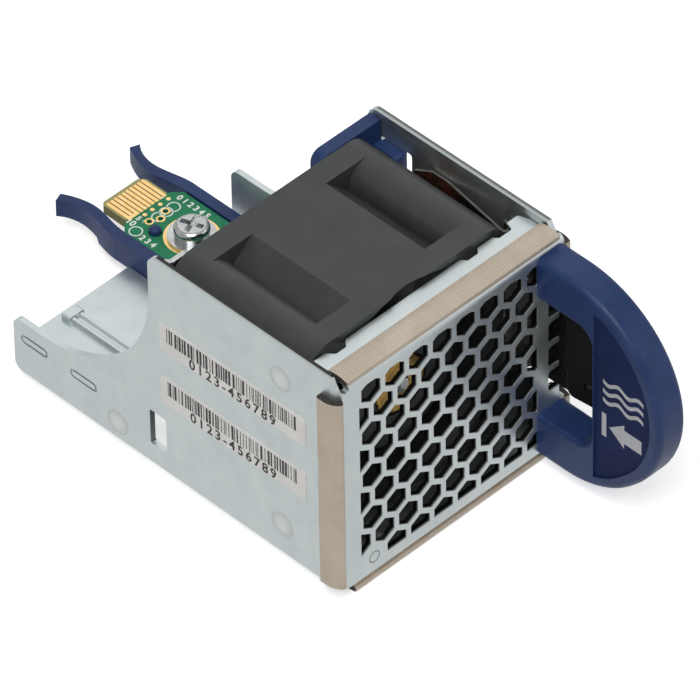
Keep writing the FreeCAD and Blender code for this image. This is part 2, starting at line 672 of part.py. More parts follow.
def handle_side(inset):
    """Side view of the pull handle: tangent lines and arcs, moved inwards by an inset."""
    x = HANDLE_LEFT
    nose = Vec(x, -HANDLE_REACH, HANDLE_TOP - CROWN_RADIUS)
    crown = nose + Vec(0, CROWN_RADIUS, 0)
    chin = nose + Vec(0, CHIN_RADIUS, 0)
    lean = math.radians(CHIN_LEAN)
    outward = Vec(0, -math.cos(lean), -math.sin(lean))
    downhill = Vec(0, math.sin(lean), -math.cos(lean))
    brow = chin + outward * CHIN_RADIUS
    slope = (brow.z - HANDLE_BOTTOM) / math.cos(lean)
    setback = HEEL_RADIUS * math.tan((math.pi / 2 - lean) / 2)
    heel_start = brow + downhill * (slope - setback)
    heel = heel_start - outward * HEEL_RADIUS
    half_lean = Vec(0, -math.cos(lean / 2), -math.sin(lean / 2))
    heel_half = (outward + Vec(0, 0, -1)).normalize()

    def on(centre, radius, direction):
        return centre + direction * (radius - inset)

    top = HANDLE_TOP - inset
    low = HANDLE_BOTTOM + inset
    start = on(crown, CROWN_RADIUS, Z_AXIS)
    side = on(crown, CROWN_RADIUS, -Y_AXIS)
    under = on(chin, CHIN_RADIUS, outward)
    heel_in = on(heel, HEEL_RADIUS, outward)
    heel_out = on(heel, HEEL_RADIUS, -Z_AXIS)
    return [line(Vec(x, 0, top), start),
            arc(start, on(crown, CROWN_RADIUS, Vec(0, -1, 1).normalize()), side),
            arc(side, on(chin, CHIN_RADIUS, half_lean), under), line(under, heel_in),
            arc(heel_in, on(heel, HEEL_RADIUS, heel_half), heel_out),
            line(heel_out, Vec(x, 0, low)), line(Vec(x, 0, low), Vec(x, 0, top))]


def near_side(edge):
    """True for an edge that lies in one of the handle's two flat sides."""
    x = edge.CenterOfMass.x
    return min(abs(x - HANDLE_LEFT), abs(x - HANDLE_RIGHT)) < 0.01


def handle():
    """Moulded D-shaped pull with a finger opening and a sunken panel on its inner side."""
    body = face_from(handle_side(0)).extrude(Vec(HANDLE_RIGHT - HANDLE_LEFT, 0, 0))
    rims = [e for e in body.Edges if e.CenterOfMass.y < -0.1 and near_side(e)]
    body = body.makeFillet(HANDLE_ROUND, rims)
    grip = box(HANDLE_LEFT - 1, HANDLE_RIGHT + 1, -GRIP_REACH, 1, GRIP_BOTTOM, GRIP_TOP)
    grip = soften(grip, X_AXIS, GRIP_CORNER, lambda p: p.y < -1)
    body = body.cut(grip)
    mouth = [e for e in body.Edges if -GRIP_REACH - 0.1 < e.CenterOfMass.y < -0.1
             and GRIP_BOTTOM - 0.1 < e.CenterOfMass.z < GRIP_TOP + 0.1 and near_side(e)]
    body = body.makeFillet(GRIP_ROUND, mouth)
    body = body.cut(handle_panel())
    depth = HANDLE_SCREW_DEPTH + 0.5
    return body.cut([rod(Vec(HANDLE_SCREW_X, -depth, z), Y_AXIS, HANDLE_SCREW_RADIUS, depth + 1)
                     for z in HANDLE_LEGS_Z])


def handle_panel():
    """Sunken field on the handle's inner side, set in from the outer curve."""
    panel = face_from(handle_side(PANEL_INSET)).extrude(Vec(PANEL_DEPTH, 0, 0))
    return panel.common(box(HANDLE_LEFT - 1, HANDLE_RIGHT, -HANDLE_REACH, -GRIP_REACH - PANEL_FROM_GRIP,
                            HANDLE_BOTTOM + PANEL_INSET, HANDLE_TOP - PANEL_INSET - 1.6))


def handle_screws():
    """Two pan-head screws driven from behind the plate into the handle's legs."""
    screws = []
    for z in HANDLE_LEGS_Z:
        shank = rod(Vec(HANDLE_SCREW_X, -HANDLE_SCREW_DEPTH, z), Y_AXIS, HANDLE_SCREW_RADIUS,
                    HANDLE_SCREW_DEPTH + SHEET)
        head = rod(Vec(HANDLE_SCREW_X, SHEET, z), Y_AXIS, HANDLE_SCREW_HEAD, 1.5)
        head = head.makeFillet(0.5, [e for e in head.Edges if e.CenterOfMass.y > SHEET + 1])
        cross = box(HANDLE_SCREW_X - 1.2, HANDLE_SCREW_X + 1.2, SHEET + 0.8, SHEET + 2, z - 0.25, z + 0.25)
        upright = box(HANDLE_SCREW_X - 0.25, HANDLE_SCREW_X + 0.25, SHEET + 0.8, SHEET + 2, z - 1.2, z + 1.2)
        screws.append(shank.fuse(head).cut([cross, upright]).removeSplitter())
    return Part.makeCompound(screws)


def fan_plate(y, thickness):
    """One square flange of the fan's frame."""
    half = FAN_SIZE / 2
    plate = box(FAN_X - half, FAN_X + half, y, y + thickness, FAN_Z - half, FAN_Z + half)
    return soften(plate, Y_AXIS, FAN_CORNER)


def fan_corners():
    reach = FAN_HOLE_SPACING / 2
    return [Vec(FAN_X + sx * reach, FAN_FRONT, FAN_Z + sz * reach) for sx in (-1, 1) for sz in (-1, 1)]


def barrel_outside():
    """Round barrel with a flat strip on top and below, and slopes that run down to the round."""
    outer = BORE_RADIUS + BARREL_WALL
    half = FAN_SIZE / 2
    reach = math.hypot(FLAT_HALF_WIDTH, half)
    touch = math.atan2(half, FLAT_HALF_WIDTH) - math.acos(outer / reach)
    foot_x = outer * math.cos(touch)
    foot_z = outer * math.sin(touch)
    points = []
    for sx, sz in ((-1, 1), (1, 1), (1, -1), (-1, -1)):
        pair = [Vec(FAN_X + sx * FLAT_HALF_WIDTH, FAN_FRONT, FAN_Z + sz * half),
                Vec(FAN_X + sx * foot_x, FAN_FRONT, FAN_Z + sz * foot_z)]
        points += pair if sx * sz > 0 else pair[::-1]
    strip = slab(points, Vec(0, FAN_DEPTH, 0))
    return rod(fan_axis_point(FAN_FRONT), Y_AXIS, outer, FAN_DEPTH).fuse(strip)


def fan_housing():
    """Frame of the fan: flanges, barrel, corner posts, struts, motor base and bearing tube."""
    parts = [fan_plate(FAN_FRONT, FAN_FLANGE), fan_plate(FAN_BACK - FAN_FLANGE, FAN_FLANGE)]
    parts += [rod(corner, Y_AXIS, FAN_CORNER, FAN_DEPTH) for corner in fan_corners()]
    frame = barrel_outside().fuse(parts)
    frame = frame.cut(rod(fan_axis_point(FAN_FRONT - 1), Y_AXIS, BORE_RADIUS, FAN_DEPTH + 2))
    mouth = Part.makeCone(BORE_RADIUS + INLET_ROUND, BORE_RADIUS, 2 * INLET_ROUND,
                          fan_axis_point(FAN_FRONT), Y_AXIS)
    frame = frame.cut([mouth] + [rod(c, Y_AXIS, FAN_HOLE_RADIUS, FAN_DEPTH) for c in fan_corners()])
    return frame.fuse(motor_mount()).removeSplitter()


def motor_mount():
    """Struts, base disc and the rim that carries the drive board."""
    disc = rod(fan_axis_point(BASE_FRONT), Y_AXIS, HUB_RADIUS, MOTOR_BASE)
    pieces = [tube(fan_axis_point(BASE_FRONT - BASE_RIM), Y_AXIS, HUB_RADIUS, HUB_RADIUS - BASE_RIM_WALL,
                   BASE_RIM)]
    for k in range(STRUTS):
        strut = box(HUB_RADIUS - STRUT_ROOT, BORE_RADIUS + 0.5, FAN_BACK - STRUT_DEPTH, FAN_BACK - 0.1,
                    -STRUT_THICKNESS / 2, STRUT_THICKNESS / 2)
        strut = strut.fuse(wedge_strut())
        strut.rotate(Vec(0, 0, 0), Y_AXIS, 18 + 360 / STRUTS * k)
        strut.translate(Vec(FAN_X, 0, FAN_Z))
        pieces.append(strut)
    bore = rod(fan_axis_point(BASE_FRONT - 1), Y_AXIS, SLEEVE_RADIUS, SLEEVE_BACK - BASE_FRONT + 1)
    return disc.fuse(pieces).cut(bore)


def wedge_strut():
    """Leaned guide vane that thickens each strut."""
    root = HUB_RADIUS - STRUT_ROOT
    front = FAN_BACK - STRUT_DEPTH
    back = FAN_BACK - 0.1
    profile = [Vec(root, front, 1.4), Vec(root, front, 2.2), Vec(root, back, 0.4), Vec(root, back, -0.5)]
    return slab(profile, Vec(BORE_RADIUS + 0.3 - root, 0, 0))


def bearing_sleeve():
    """Brass tube pressed into the motor base, with a step that parts the two bearings."""
    sleeve = tube(fan_axis_point(SLEEVE_FRONT), Y_AXIS, SLEEVE_RADIUS, BEARING_RADIUS,
                  SLEEVE_BACK - SLEEVE_FRONT)
    step_front = BEARING_STARTS[0] + BEARING_WIDTH
    step = tube(fan_axis_point(step_front), Y_AXIS, BEARING_RADIUS + 0.1, BEARING_RADIUS - SLEEVE_STEP,
                BEARING_STARTS[1] - step_front)
    return sleeve.fuse(step).removeSplitter()


def bearing_outer(k):
    return tube(fan_axis_point(BEARING_STARTS[k]), Y_AXIS, BEARING_RADIUS, RACE_SPLIT + RACE_GAP,
                BEARING_WIDTH)


def bearing_inner_races():
    rings = [tube(fan_axis_point(y), Y_AXIS, RACE_SPLIT, SHAFT_RADIUS, BEARING_WIDTH) for y in BEARING_STARTS]
    return Part.makeCompound(rings)


def rotor_shaft():
    start = HUB_FRONT - 0.3
    shaft = rod(fan_axis_point(start), Y_AXIS, SHAFT_RADIUS, SLEEVE_BACK - 0.3 - start)
    shaft = shaft.makeChamfer(0.25, [e for e in shaft.Edges if e.CenterOfMass.y < start + 0.01])
    groove = tube(fan_axis_point(CLIP_Y), Y_AXIS, SHAFT_RADIUS + 1, SHAFT_RADIUS - CLIP_GROOVE, CLIP_SHEET)
    return shaft.cut(groove)


def shaft_clip():
    """Split ring that keeps the shaft in the rear bearing."""
    ring = tube(fan_axis_point(CLIP_Y), Y_AXIS, SHAFT_RADIUS + CLIP_RIM, SHAFT_RADIUS - CLIP_GROOVE,
                CLIP_SHEET)
    return ring.cut(box(FAN_X - 0.5, FAN_X + 0.5, CLIP_Y - 1, CLIP_Y + 1, FAN_Z, FAN_Z + 4))


def preload_spring():
    """Dished spring washer between the rotor's boss and the front bearing's inner race."""
    inner = SHAFT_RADIUS + 0.1
    outer = RACE_SPLIT - 0.05
    back = BEARING_STARTS[0]
    return turned([(inner, BOSS_BACK), (inner, BOSS_BACK + WASHER_SHEET), (outer, back),
                   (outer, back - WASHER_SHEET)])


def rotor_boss():
    """Brass boss staked in the yoke; its face shows in the middle of the hub."""
    boss = rod(fan_axis_point(HUB_FRONT - 0.1), Y_AXIS, BOSS_RADIUS, YOKE_FRONT - HUB_FRONT + 0.1)
    boss = boss.makeFillet(0.6, [e for e in boss.Edges if e.CenterOfMass.y < HUB_FRONT])
    neck = rod(fan_axis_point(YOKE_FRONT), Y_AXIS, NECK_RADIUS, BOSS_BACK - YOKE_FRONT)
    return boss.fuse(neck).cut(rod(fan_axis_point(0), Y_AXIS, SHAFT_RADIUS, FAN_BACK)).removeSplitter()


def rotor_yoke():
    cup = rod(fan_axis_point(YOKE_FRONT), Y_AXIS, YOKE_OUTER, HUB_BACK - YOKE_SHORT_OF_HUB - YOKE_FRONT)
    hollow = rod(fan_axis_point(YOKE_FRONT + YOKE_WALL), Y_AXIS, YOKE_INNER, HUB_LENGTH)
    return cup.cut([hollow, rod(fan_axis_point(0), Y_AXIS, NECK_RADIUS, FAN_BACK)])


def rotor_magnet():
    return tube(fan_axis_point(MAGNET_FRONT), Y_AXIS, YOKE_INNER, MAGNET_INNER, MAGNET_LENGTH)


def blade_section(radius, pitch_deg, camber):
    """Cambered section on a plane square to the radius: one arc over, one arc under."""
    lean = math.radians(pitch_deg)
    half = (HUB_LENGTH / 2 - BLADE_INSET) / math.cos(lean)
    middle = (HUB_FRONT + HUB_BACK) / 2

    def place(along, across):
        t = along * math.sin(lean) + across * math.cos(lean)
        y = middle + along * math.cos(lean) - across * math.sin(lean)
        return Vec(radius, y, t)

    nose = place(-half, 0)
    tail = place(half, 0)
    over = place(0, camber + BLADE_THICKNESS / 2)
    under = place(0, camber - BLADE_THICKNESS / 2)
    return Part.Wire([arc(nose, over, tail), arc(tail, under, nose)])


def fan_blade():
    root = blade_section(HUB_RADIUS - 0.6, 38, 1.6)
    middle = blade_section((HUB_RADIUS + BORE_RADIUS) / 2, 46, 1.5)
    tip = blade_section(BORE_RADIUS + 0.5, 52, 1.2)
    return Part.makeLoft([root, middle, tip], True, False)


def impeller():
    """Hub cup with its blades."""
    hub = rod(fan_axis_point(HUB_FRONT), Y_AXIS, HUB_RADIUS, HUB_LENGTH)
    hub = hub.makeFillet(1.0, [e for e in hub.Edges if e.CenterOfMass.y < HUB_FRONT + 0.01])
    hollow = rod(fan_axis_point(YOKE_FRONT), Y_AXIS, YOKE_OUTER, HUB_LENGTH)
    window = rod(fan_axis_point(0), Y_AXIS, HUB_WINDOW, FAN_BACK)
    blades = []
    for k in range(BLADES):
        blade = fan_blade()
        blade.rotate(Vec(0, 0, 0), Y_AXIS, 10 + 360 / BLADES * k)
        blade.translate(Vec(FAN_X, 0, FAN_Z))
        blades.append(blade)
    swept = tube(fan_axis_point(HUB_FRONT), Y_AXIS, BORE_RADIUS - TIP_GAP, YOKE_OUTER + 0.3, HUB_LENGTH)
    trimmed = [blade.common(swept) for blade in blades]
    return hub.cut([hollow, window]).fuse(trimmed).removeSplitter()


def stator_core():
    """Laminated four-pole stack on the bearing sleeve."""
    core = tube(fan_axis_point(STACK_FRONT), Y_AXIS, SLEEVE_RADIUS + STACK_COLLAR, SLEEVE_RADIUS,
                STACK_LENGTH)
    ring = tube(fan_axis_point(STACK_FRONT), Y_AXIS, STACK_RADIUS, STACK_RADIUS - POLE_SHOE, STACK_LENGTH)
    gaps = []
    arms = []
    for k in range(POLES):
        angle = 360 / POLES * k
        gap = box(SLEEVE_RADIUS + STACK_COLLAR + 0.3, STACK_RADIUS + 1, STACK_FRONT - 1,
                  STACK_FRONT + STACK_LENGTH + 1, -POLE_GAP / 2, POLE_GAP / 2)
        gap.rotate(Vec(0, 0, 0), Y_AXIS, angle + 180 / POLES)
        gap.translate(Vec(FAN_X, 0, FAN_Z))
        gaps.append(gap)
        arm = box(SLEEVE_RADIUS + STACK_COLLAR / 2, STACK_RADIUS - POLE_SHOE / 2, STACK_FRONT,
                  STACK_FRONT + STACK_LENGTH, -POLE_WIDTH / 2, POLE_WIDTH / 2)
        arm.rotate(Vec(0, 0, 0), Y_AXIS, angle)
        arm.translate(Vec(FAN_X, 0, FAN_Z))
        arms.append(arm)
    return core.fuse([ring.cut(gaps)] + arms).removeSplitter()


def stator_windings():
    """One copper coil round each pole."""
    half = POLE_WIDTH / 2
    side = half + COIL_BUILD
    inner = SLEEVE_RADIUS + STACK_COLLAR + 0.2
    outer = math.sqrt((STACK_RADIUS - POLE_SHOE) ** 2 - side ** 2) - 0.05
    front = STACK_FRONT
    back = STACK_FRONT + STACK_LENGTH
    coils = []
    for k in range(POLES):
        coil = box(inner, outer, front - COIL_BUILD, back + COIL_BUILD, -side, side)
        coil = soften(coil, X_AXIS, 0.6)
        coil = coil.cut(box(inner - 1, outer + 1, front, back, -half, half))
        coil.rotate(Vec(0, 0, 0), Y_AXIS, 360 / POLES * k)
        coil.translate(Vec(FAN_X, 0, FAN_Z))
        coils.append(coil)
    return Part.makeCompound(coils)


def motor_board():
    """Drive circuit ring behind the stator, seated on the motor base's rim."""
    return tube(fan_axis_point(DRIVE_BOARD_FRONT), Y_AXIS, HUB_RADIUS - DRIVE_BOARD_GAP, SLEEVE_RADIUS + 0.05,
                DRIVE_BOARD)


def motor_chip():
    back = DRIVE_BOARD_FRONT + DRIVE_BOARD
    return box(FAN_X - 7.6, FAN_X - 4.8, back, back + 1.0, FAN_Z - 1.2, FAN_Z + 1.2)


def leaf_centre_line():
    """Plan of the latch spring, from its wing behind the rivets to the thumb tab."""
    wall = INNER - LATCH_GAP - LEAF_THICKNESS / 2
    outside = HALF + 0.1 + LEAF_THICKNESS / 2
    splay = math.tan(math.radians(TAB_SPLAY))
    root_back = LATCH_ROOT_Y + LATCH_ROOT_HALF
    root_front = LATCH_ROOT_Y - LATCH_ROOT_HALF
    return {
        "wing": [(wall - 1.5, root_back + 2.2), (wall, root_back)],
        "arm": [(wall, root_back), (wall, root_front), (LATCH_DIP_X, LATCH_DIP_Y)],
        "curl": [(LATCH_DIP_X, LATCH_DIP_Y), (LATCH_DIP_X + 1.1, LATCH_DIP_Y - 0.4),
                 (wall - 0.2, LATCH_DIP_Y + 1.4)],
        "nose": [(LATCH_DIP_X, LATCH_DIP_Y), (outside, LATCH_DIP_Y - 1.9), (outside, TAB_START)],
        "tab": [(outside, TAB_START), (outside + splay * (TAB_START + TAB_LENGTH), -TAB_LENGTH)],
    }


def strip_along(points, bottom, top):
    """Thin upright strip that follows a plan line, with a round at each bend."""
    pieces = []
    half = LEAF_THICKNESS / 2
    for (ax, ay), (bx, by) in zip(points, points[1:]):
        length = math.hypot(bx - ax, by - ay)
        nx = -(by - ay) / length * half
        ny = (bx - ax) / length * half
        quad = [Vec(ax + nx, ay + ny, bottom), Vec(bx + nx, by + ny, bottom),
                Vec(bx - nx, by - ny, bottom), Vec(ax - nx, ay - ny, bottom)]
        pieces.append(slab(quad, Vec(0, 0, top - bottom)))
        pieces.append(rod(Vec(bx, by, bottom), Z_AXIS, half, top - bottom))
    return pieces


def latch_spring():
    """Steel leaf: riveted root, arm, catch nose through the corner notch, core of the tab."""
    plan = leaf_centre_line()
    pieces = strip_along(plan["wing"], LATCH_TOP, LEAF_TOP)
    pieces += strip_along(plan["arm"], LEAF_BOTTOM, LEAF_TOP)
    pieces += strip_along(plan["curl"], LATCH_TOP + 1.2, LEAF_TOP)
    pieces += strip_along(plan["nose"] + plan["tab"][1:], LEAF_BOTTOM + 0.3, LATCH_TOP - 0.3)
    leaf = pieces[0].fuse(pieces[1:]).removeSplitter()
    holes = [rod(Vec(INNER - 2, LATCH_ROOT_Y, z), X_AXIS, RIVET_RADIUS + 0.15, 4) for z in LATCH_RIVET_Z]
    return leaf.fuse(catch_ramp(plan["nose"][1])).cut(holes).removeSplitter()


def catch_ramp(knee):
    """Ramp pressed out of the leaf, square at its back and sloped towards the tab."""
    x, y = knee
    outline = [Vec(x, y, CATCH_BOTTOM), Vec(x + CATCH_REACH, y - 0.6, CATCH_BOTTOM),
               Vec(x + CATCH_REACH, y - 1.4, CATCH_BOTTOM), Vec(x, y - 3.7, CATCH_BOTTOM)]
    return slab(outline, Vec(0, 0, CATCH_HEIGHT))


def latch_rivets():
    """Two rivets that carry the leaf's root on the right wall."""
    rivets = []
    inside = INNER - LATCH_GAP - LEAF_THICKNESS - 0.1
    for z in LATCH_RIVET_Z:
        shank = rod(Vec(inside, LATCH_ROOT_Y, z), X_AXIS, RIVET_RADIUS, HALF - inside)
        head = rod(Vec(inside - 0.5, LATCH_ROOT_Y, z), X_AXIS, LATCH_RIVET_HEAD, 0.5)
        head = head.makeFillet(0.35, [e for e in head.Edges if e.CenterOfMass.x < inside - 0.4])
        rivets.append(shank.fuse(head).removeSplitter())
    return Part.makeCompound(rivets)


def thumb_tab():
    """Plastic grip moulded over the end of the latch spring."""
    (ax, ay), (bx, by) = leaf_centre_line()["tab"]
    along = Vec(bx - ax, by - ay, 0).normalize()
    across = Vec(-along.y, along.x, 0)
    half = across * (TAB_THICKNESS / 2)
    start = Vec(ax, ay, LEAF_BOTTOM) + along * TAB_GRIP_START
    end = Vec(bx, by, LEAF_BOTTOM) + along * 0.6
    grip = slab([start + half, end + half, end - half, start - half], Vec(0, 0, LATCH_TOP - LEAF_BOTTOM))
    grip = grip.makeFillet(1.2, edges_along(grip, across, lambda p: True))
    middle = Vec(ax, ay, 0) + along * 5.2
    eye = box(middle.x - 2, middle.x + 2, middle.y - 0.75, middle.y + 0.75,
              LEAF_BOTTOM + 2.4, LEAF_BOTTOM + 4.0)
    return grip.cut([eye, latch_spring()])


def arm_outline():
    """Plan of the left guide arm: straight rail, inward waist and flared lead-in tip."""
    left = ARM_LEFT
    inner = ARM_LEFT + ARM_WIDTH

    def at(x, past_base):
        return Vec(x, BASE_BACK + past_base, CARRIER_BOTTOM)

    outer = [at(left, 0.5), at(left + 0.6, 4.0), at(left + 1.2, 7.8), at(left + 0.7, 10.4),
             at(left - 0.5, 12.3)]
    inside = [at(inner - 0.8, 12.9), at(inner + 0.3, 10.5), at(inner + 0.95, 6.8), at(inner + 0.3, 2.8),
              at(inner, 0)]
    corners = [Vec(inner, ARM_START, CARRIER_BOTTOM), Vec(left, ARM_START, CARRIER_BOTTOM)]
    return face_from([curve(outer), line(outer[-1], inside[0]), curve(inside), line(inside[-1], corners[0]),
                      line(corners[0], corners[1]), line(corners[1], outer[0])])


def guide_arm():
    """One arm, thinned from below behind its heel."""
    arm = arm_outline().extrude(Vec(0, 0, ARM_TOP - CARRIER_BOTTOM))
    heel = BASE_BACK + 5.0
    tip = BASE_BACK + 14.0
    under = slab([Vec(0, heel - 0.6, -1), Vec(0, heel - 0.6, CARRIER_BOTTOM),
                  Vec(0, heel, CARRIER_BOTTOM + 0.9), Vec(0, tip, CARRIER_BOTTOM + 1.4), Vec(0, tip, -1)],
                 Vec(CARRIER_MID, 0, 0))
    return arm.cut(under)


def rear_carrier():
    """Moulding at the back: brace behind the fan, base for the board and two guide arms."""
    right = 2 * CARRIER_MID - ARM_LEFT
    front = FAN_BACK + BRACE_FRONT_GAP
    base = box(ARM_LEFT, right, front, BASE_BACK, SHEET, BED)
    keel = box(ARM_LEFT, right, CUTOUT_START + FIT_GAP, BASE_BACK, CARRIER_BOTTOM, SHEET)
    lips = box(ARM_LEFT - 1.2, right + 1.0, CUTOUT_START + 2, ARM_START + 12, SHEET, BED)
    pin = rod(Vec(PIN_X, PIN_Y, BED - 0.5), Z_AXIS, PIN_RADIUS, BOARD_TOP + PIN_RISE - BED + 0.5)
    pin = pin.makeFillet(0.6, [e for e in pin.Edges if e.CenterOfMass.z > BOARD_TOP + PIN_RISE - 0.1])
    arm = guide_arm()
    far_arm = arm.mirror(Vec(CARRIER_MID, 0, 0), X_AXIS)
    carrier = base.fuse([keel, lips, arm, far_arm, pin] + carrier_brace(front)).removeSplitter()
    door = box(LEAD_DOOR_LEFT, INNER - FIT_GAP - 0.3, front - 1, front + LEAD_DOOR_DEPTH, SHEET - 0.5,
               LEAD_DOOR_TOP)
    return carrier.cut([door, rod(Vec(SCREW_X, SCREW_Y, -1), Z_AXIS, INSERT_RADIUS, 6)])


def carrier_brace(front):
    """Upright behind the fan with its hook and snap nub at the right wall, and a web to the base."""
    edge = INNER - FIT_GAP
    brace = box(BRACE_LEFT, edge, front, front + BRACE_THICKNESS, SHEET, BRACE_TOP)
    brace = soften(brace, Y_AXIS, 1.8, lambda p: p.x < BRACE_LEFT + 0.1 and p.z > BRACE_TOP - 0.1)
    brace = soften(brace, Y_AXIS, FLOOR_BEND - SHEET, lambda p: p.x > edge - 0.1 and p.z < SHEET + 0.1)
    brace = brace.cut(rod(fan_axis_point(front - 1), Y_AXIS, BORE_RADIUS + BRACE_RING, BRACE_THICKNESS + 2))
    hook = box(edge - 1.7, edge, WINDOW_FRONT + 1.3, front + 1, WINDOW_BOTTOM - 0.6, WINDOW_TOP - 0.5)
    hook = soften(hook, X_AXIS, 0.8, lambda p: p.y < WINDOW_FRONT + 2)
    nub = box(edge - 0.2, HALF - 0.2, WINDOW_FRONT + 1.5, WINDOW_BACK - 0.4,
              WINDOW_BOTTOM + 0.4, WINDOW_TOP - 0.6)
    nub = soften(nub, Z_AXIS, 0.5, lambda p: p.x > HALF - 0.3)
    web = box(BRACE_LEFT + 4, BRACE_LEFT + 5.6, front, front + 6, BED - 0.1, BED + 5)
    web = web.cut(rod(Vec(BRACE_LEFT, front + BRACE_THICKNESS + 5.2, BED + 5.6), X_AXIS, 5.0, 10))
    return [brace, hook, nub, web]


def screw_insert():
    """Threaded brass insert in the carrier's base."""
    return tube(Vec(SCREW_X, SCREW_Y, CARRIER_BOTTOM), Z_AXIS, INSERT_RADIUS, SCREW_RADIUS,
                BED - CARRIER_BOTTOM)


def board_outline(z):
    """Plan of the connector board, wide at the screw and stepped down to the tongue."""
    left = ARM_LEFT + ARM_WIDTH + FIT_GAP
    right = 2 * CARRIER_MID - left
    half = TONGUE_WIDTH / 2
    shoulder = BOARD_BACK + 0.4
    plan = [(left, BOARD_FRONT), (right, BOARD_FRONT), (right, BOARD_BACK - 1.2), (right - 1.2, BOARD_BACK),
            (CARRIER_MID + half, shoulder), (CARRIER_MID + half, TONGUE_END - 1.0),
            (CARRIER_MID + half - 1.0, TONGUE_END), (CARRIER_MID - half + 0.5, TONGUE_END),
            (CARRIER_MID - half, TONGUE_END - 0.5), (CARRIER_MID - half, shoulder),
            (left + 1.2, BOARD_BACK), (left, BOARD_BACK - 1.2)]
    return [Vec(x, y, z) for x, y in plan]


def lead_hole_x(k):
    return CARRIER_MID + (k - 1.5) * LEAD_HOLE_PITCH


def connector_board():
    """Circuit board with the card-edge tongue."""
    board = slab(board_outline(BED), Vec(0, 0, BOARD_THICKNESS))
    board = soften(board, Z_AXIS, 0.5, lambda p: p.y > BOARD_BACK - 2)
    holes = [rod(Vec(SCREW_X, SCREW_Y, 0), Z_AXIS, SCREW_RADIUS + 0.1, 9),
             rod(Vec(PIN_X, PIN_Y, 0), Z_AXIS, PIN_RADIUS + 0.1, 9)]
    holes += [rod(Vec(x, BOARD_BACK - y, 0), Z_AXIS, TEST_HOLE_RADIUS, 9) for x, y in TEST_HOLES]
    return board.cut(holes)


def contact_fingers():
    """Gold contacts on both faces of the tongue."""
    pads = []
    back = TONGUE_END - FINGER_END_GAP
    for k in range(FINGERS):
        x = CARRIER_MID + (k - (FINGERS - 1) / 2) * FINGER_PITCH
        for z in (BOARD_TOP, BED - FINGER_THICKNESS):
            pads.append(box(x - FINGER_WIDTH / 2, x + FINGER_WIDTH / 2, back - FINGER_LENGTH, back,
                            z, z + FINGER_THICKNESS))
    return Part.makeCompound(pads)


def board_washer():
    return tube(Vec(SCREW_X, SCREW_Y, BOARD_TOP), Z_AXIS, WASHER_RADIUS, SCREW_RADIUS, WASHER_THICKNESS)


def board_screw():
    """Pan-head screw with a cross recess that clamps the board."""
    seat = BOARD_TOP + WASHER_THICKNESS
    top = seat + SCREW_HEAD_HEIGHT
    bottom = CARRIER_BOTTOM + 0.2
    shank = rod(Vec(SCREW_X, SCREW_Y, bottom), Z_AXIS, SCREW_RADIUS, seat - bottom)
    head = rod(Vec(SCREW_X, SCREW_Y, seat), Z_AXIS, SCREW_HEAD_RADIUS, SCREW_HEAD_HEIGHT)
    head = head.makeFillet(1.0, [e for e in head.Edges if e.CenterOfMass.z > top - 0.01])
    recess = [box(SCREW_X - SCREW_CROSS, SCREW_X + SCREW_CROSS, SCREW_Y - SCREW_SLOT, SCREW_Y + SCREW_SLOT,
                  top - 1.3, top + 1),
              box(SCREW_X - SCREW_SLOT, SCREW_X + SCREW_SLOT, SCREW_Y - SCREW_CROSS, SCREW_Y + SCREW_CROSS,
                  top - 1.3, top + 1)]
    for cutter in recess:
        cutter.rotate(Vec(SCREW_X, SCREW_Y, 0), Z_AXIS, SCREW_TURN)
    return shank.fuse(head).cut(recess).removeSplitter()


def smooth_tube(points, radius, name):
    """Round lead along straight runs joined by tangent arcs."""
    edges = []
    start = points[0]
    radii = []
    for before, corner, after in zip(points, points[1:], points[2:]):
        toward = (before - corner).normalize()
        away = (after - corner).normalize()
        half_turn = (math.pi - toward.getAngle(away)) / 2
        shorter = min((before - corner).Length, (after - corner).Length)
        setback = 0.45 * shorter
        bend = setback / math.tan(half_turn)
        radii.append(bend)
        enter = corner + toward * setback
        leave = corner + away * setback
        inward = (toward + away).normalize()
        middle = corner + inward * (bend / math.cos(half_turn) - bend)
        edges.append(line(start, enter))
        edges.append(arc(enter, middle, leave))
        start = leave
    edges.append(line(start, points[-1]))
    path = Part.Wire(edges)
    section = Part.Wire(Part.Circle(points[0], points[1] - points[0], radius).toShape())
    solid = path.makePipeShell([section], True, True)
    ratio = solid.Volume / (math.pi * radius ** 2 * path.Length)
    print(name, "length", round(path.Length, 1), "volume ratio", round(ratio, 3),
          "radii", [round(r, 1) for r in radii])
    return solid


def fan_lead(k):
    """One lead: out of the frame's rear flange, up and down beside the fan, back to the board."""
    column, row = ((1, 0), (0, 0), (1, 1), (0, 1))[k]
    order = 2 * column + row
    flange = FAN_BACK - FAN_FLANGE
    exit_z = FAN_Z + 12.0 - LEAD_UP_STEP * k
    x = LEAD_X + LEAD_SIDE_STEP * column
    y = LATCH_ROOT_Y - 0.4 + LEAD_BACK_STEP * row
    floor_z = SHEET + 0.65 + LEAD_UP_STEP * row
    rise_y = FAN_BACK + 5.8 - LEAD_BACK_STEP * row
    hop = BOARD_TOP + 2.4 + LEAD_UP_STEP * order
    hole_x = lead_hole_x(3 - order)
    hole_y = BOARD_FRONT + LEAD_HOLE_GAP
    points = [Vec(16.9, flange, exit_z), Vec(16.9, flange - 2.6, exit_z), Vec(x, y, exit_z + 2.3),
              Vec(x, y - 0.15, 24.0), Vec(x, y + 0.1, 13.0), Vec(x, y, floor_z), Vec(x, rise_y, floor_z),
              Vec(x, rise_y + 2.8, hop), Vec(hole_x, hole_y, hop), Vec(hole_x, hole_y, BOARD_TOP)]
    return smooth_tube(points, LEAD_RADIUS, LEADS[k])


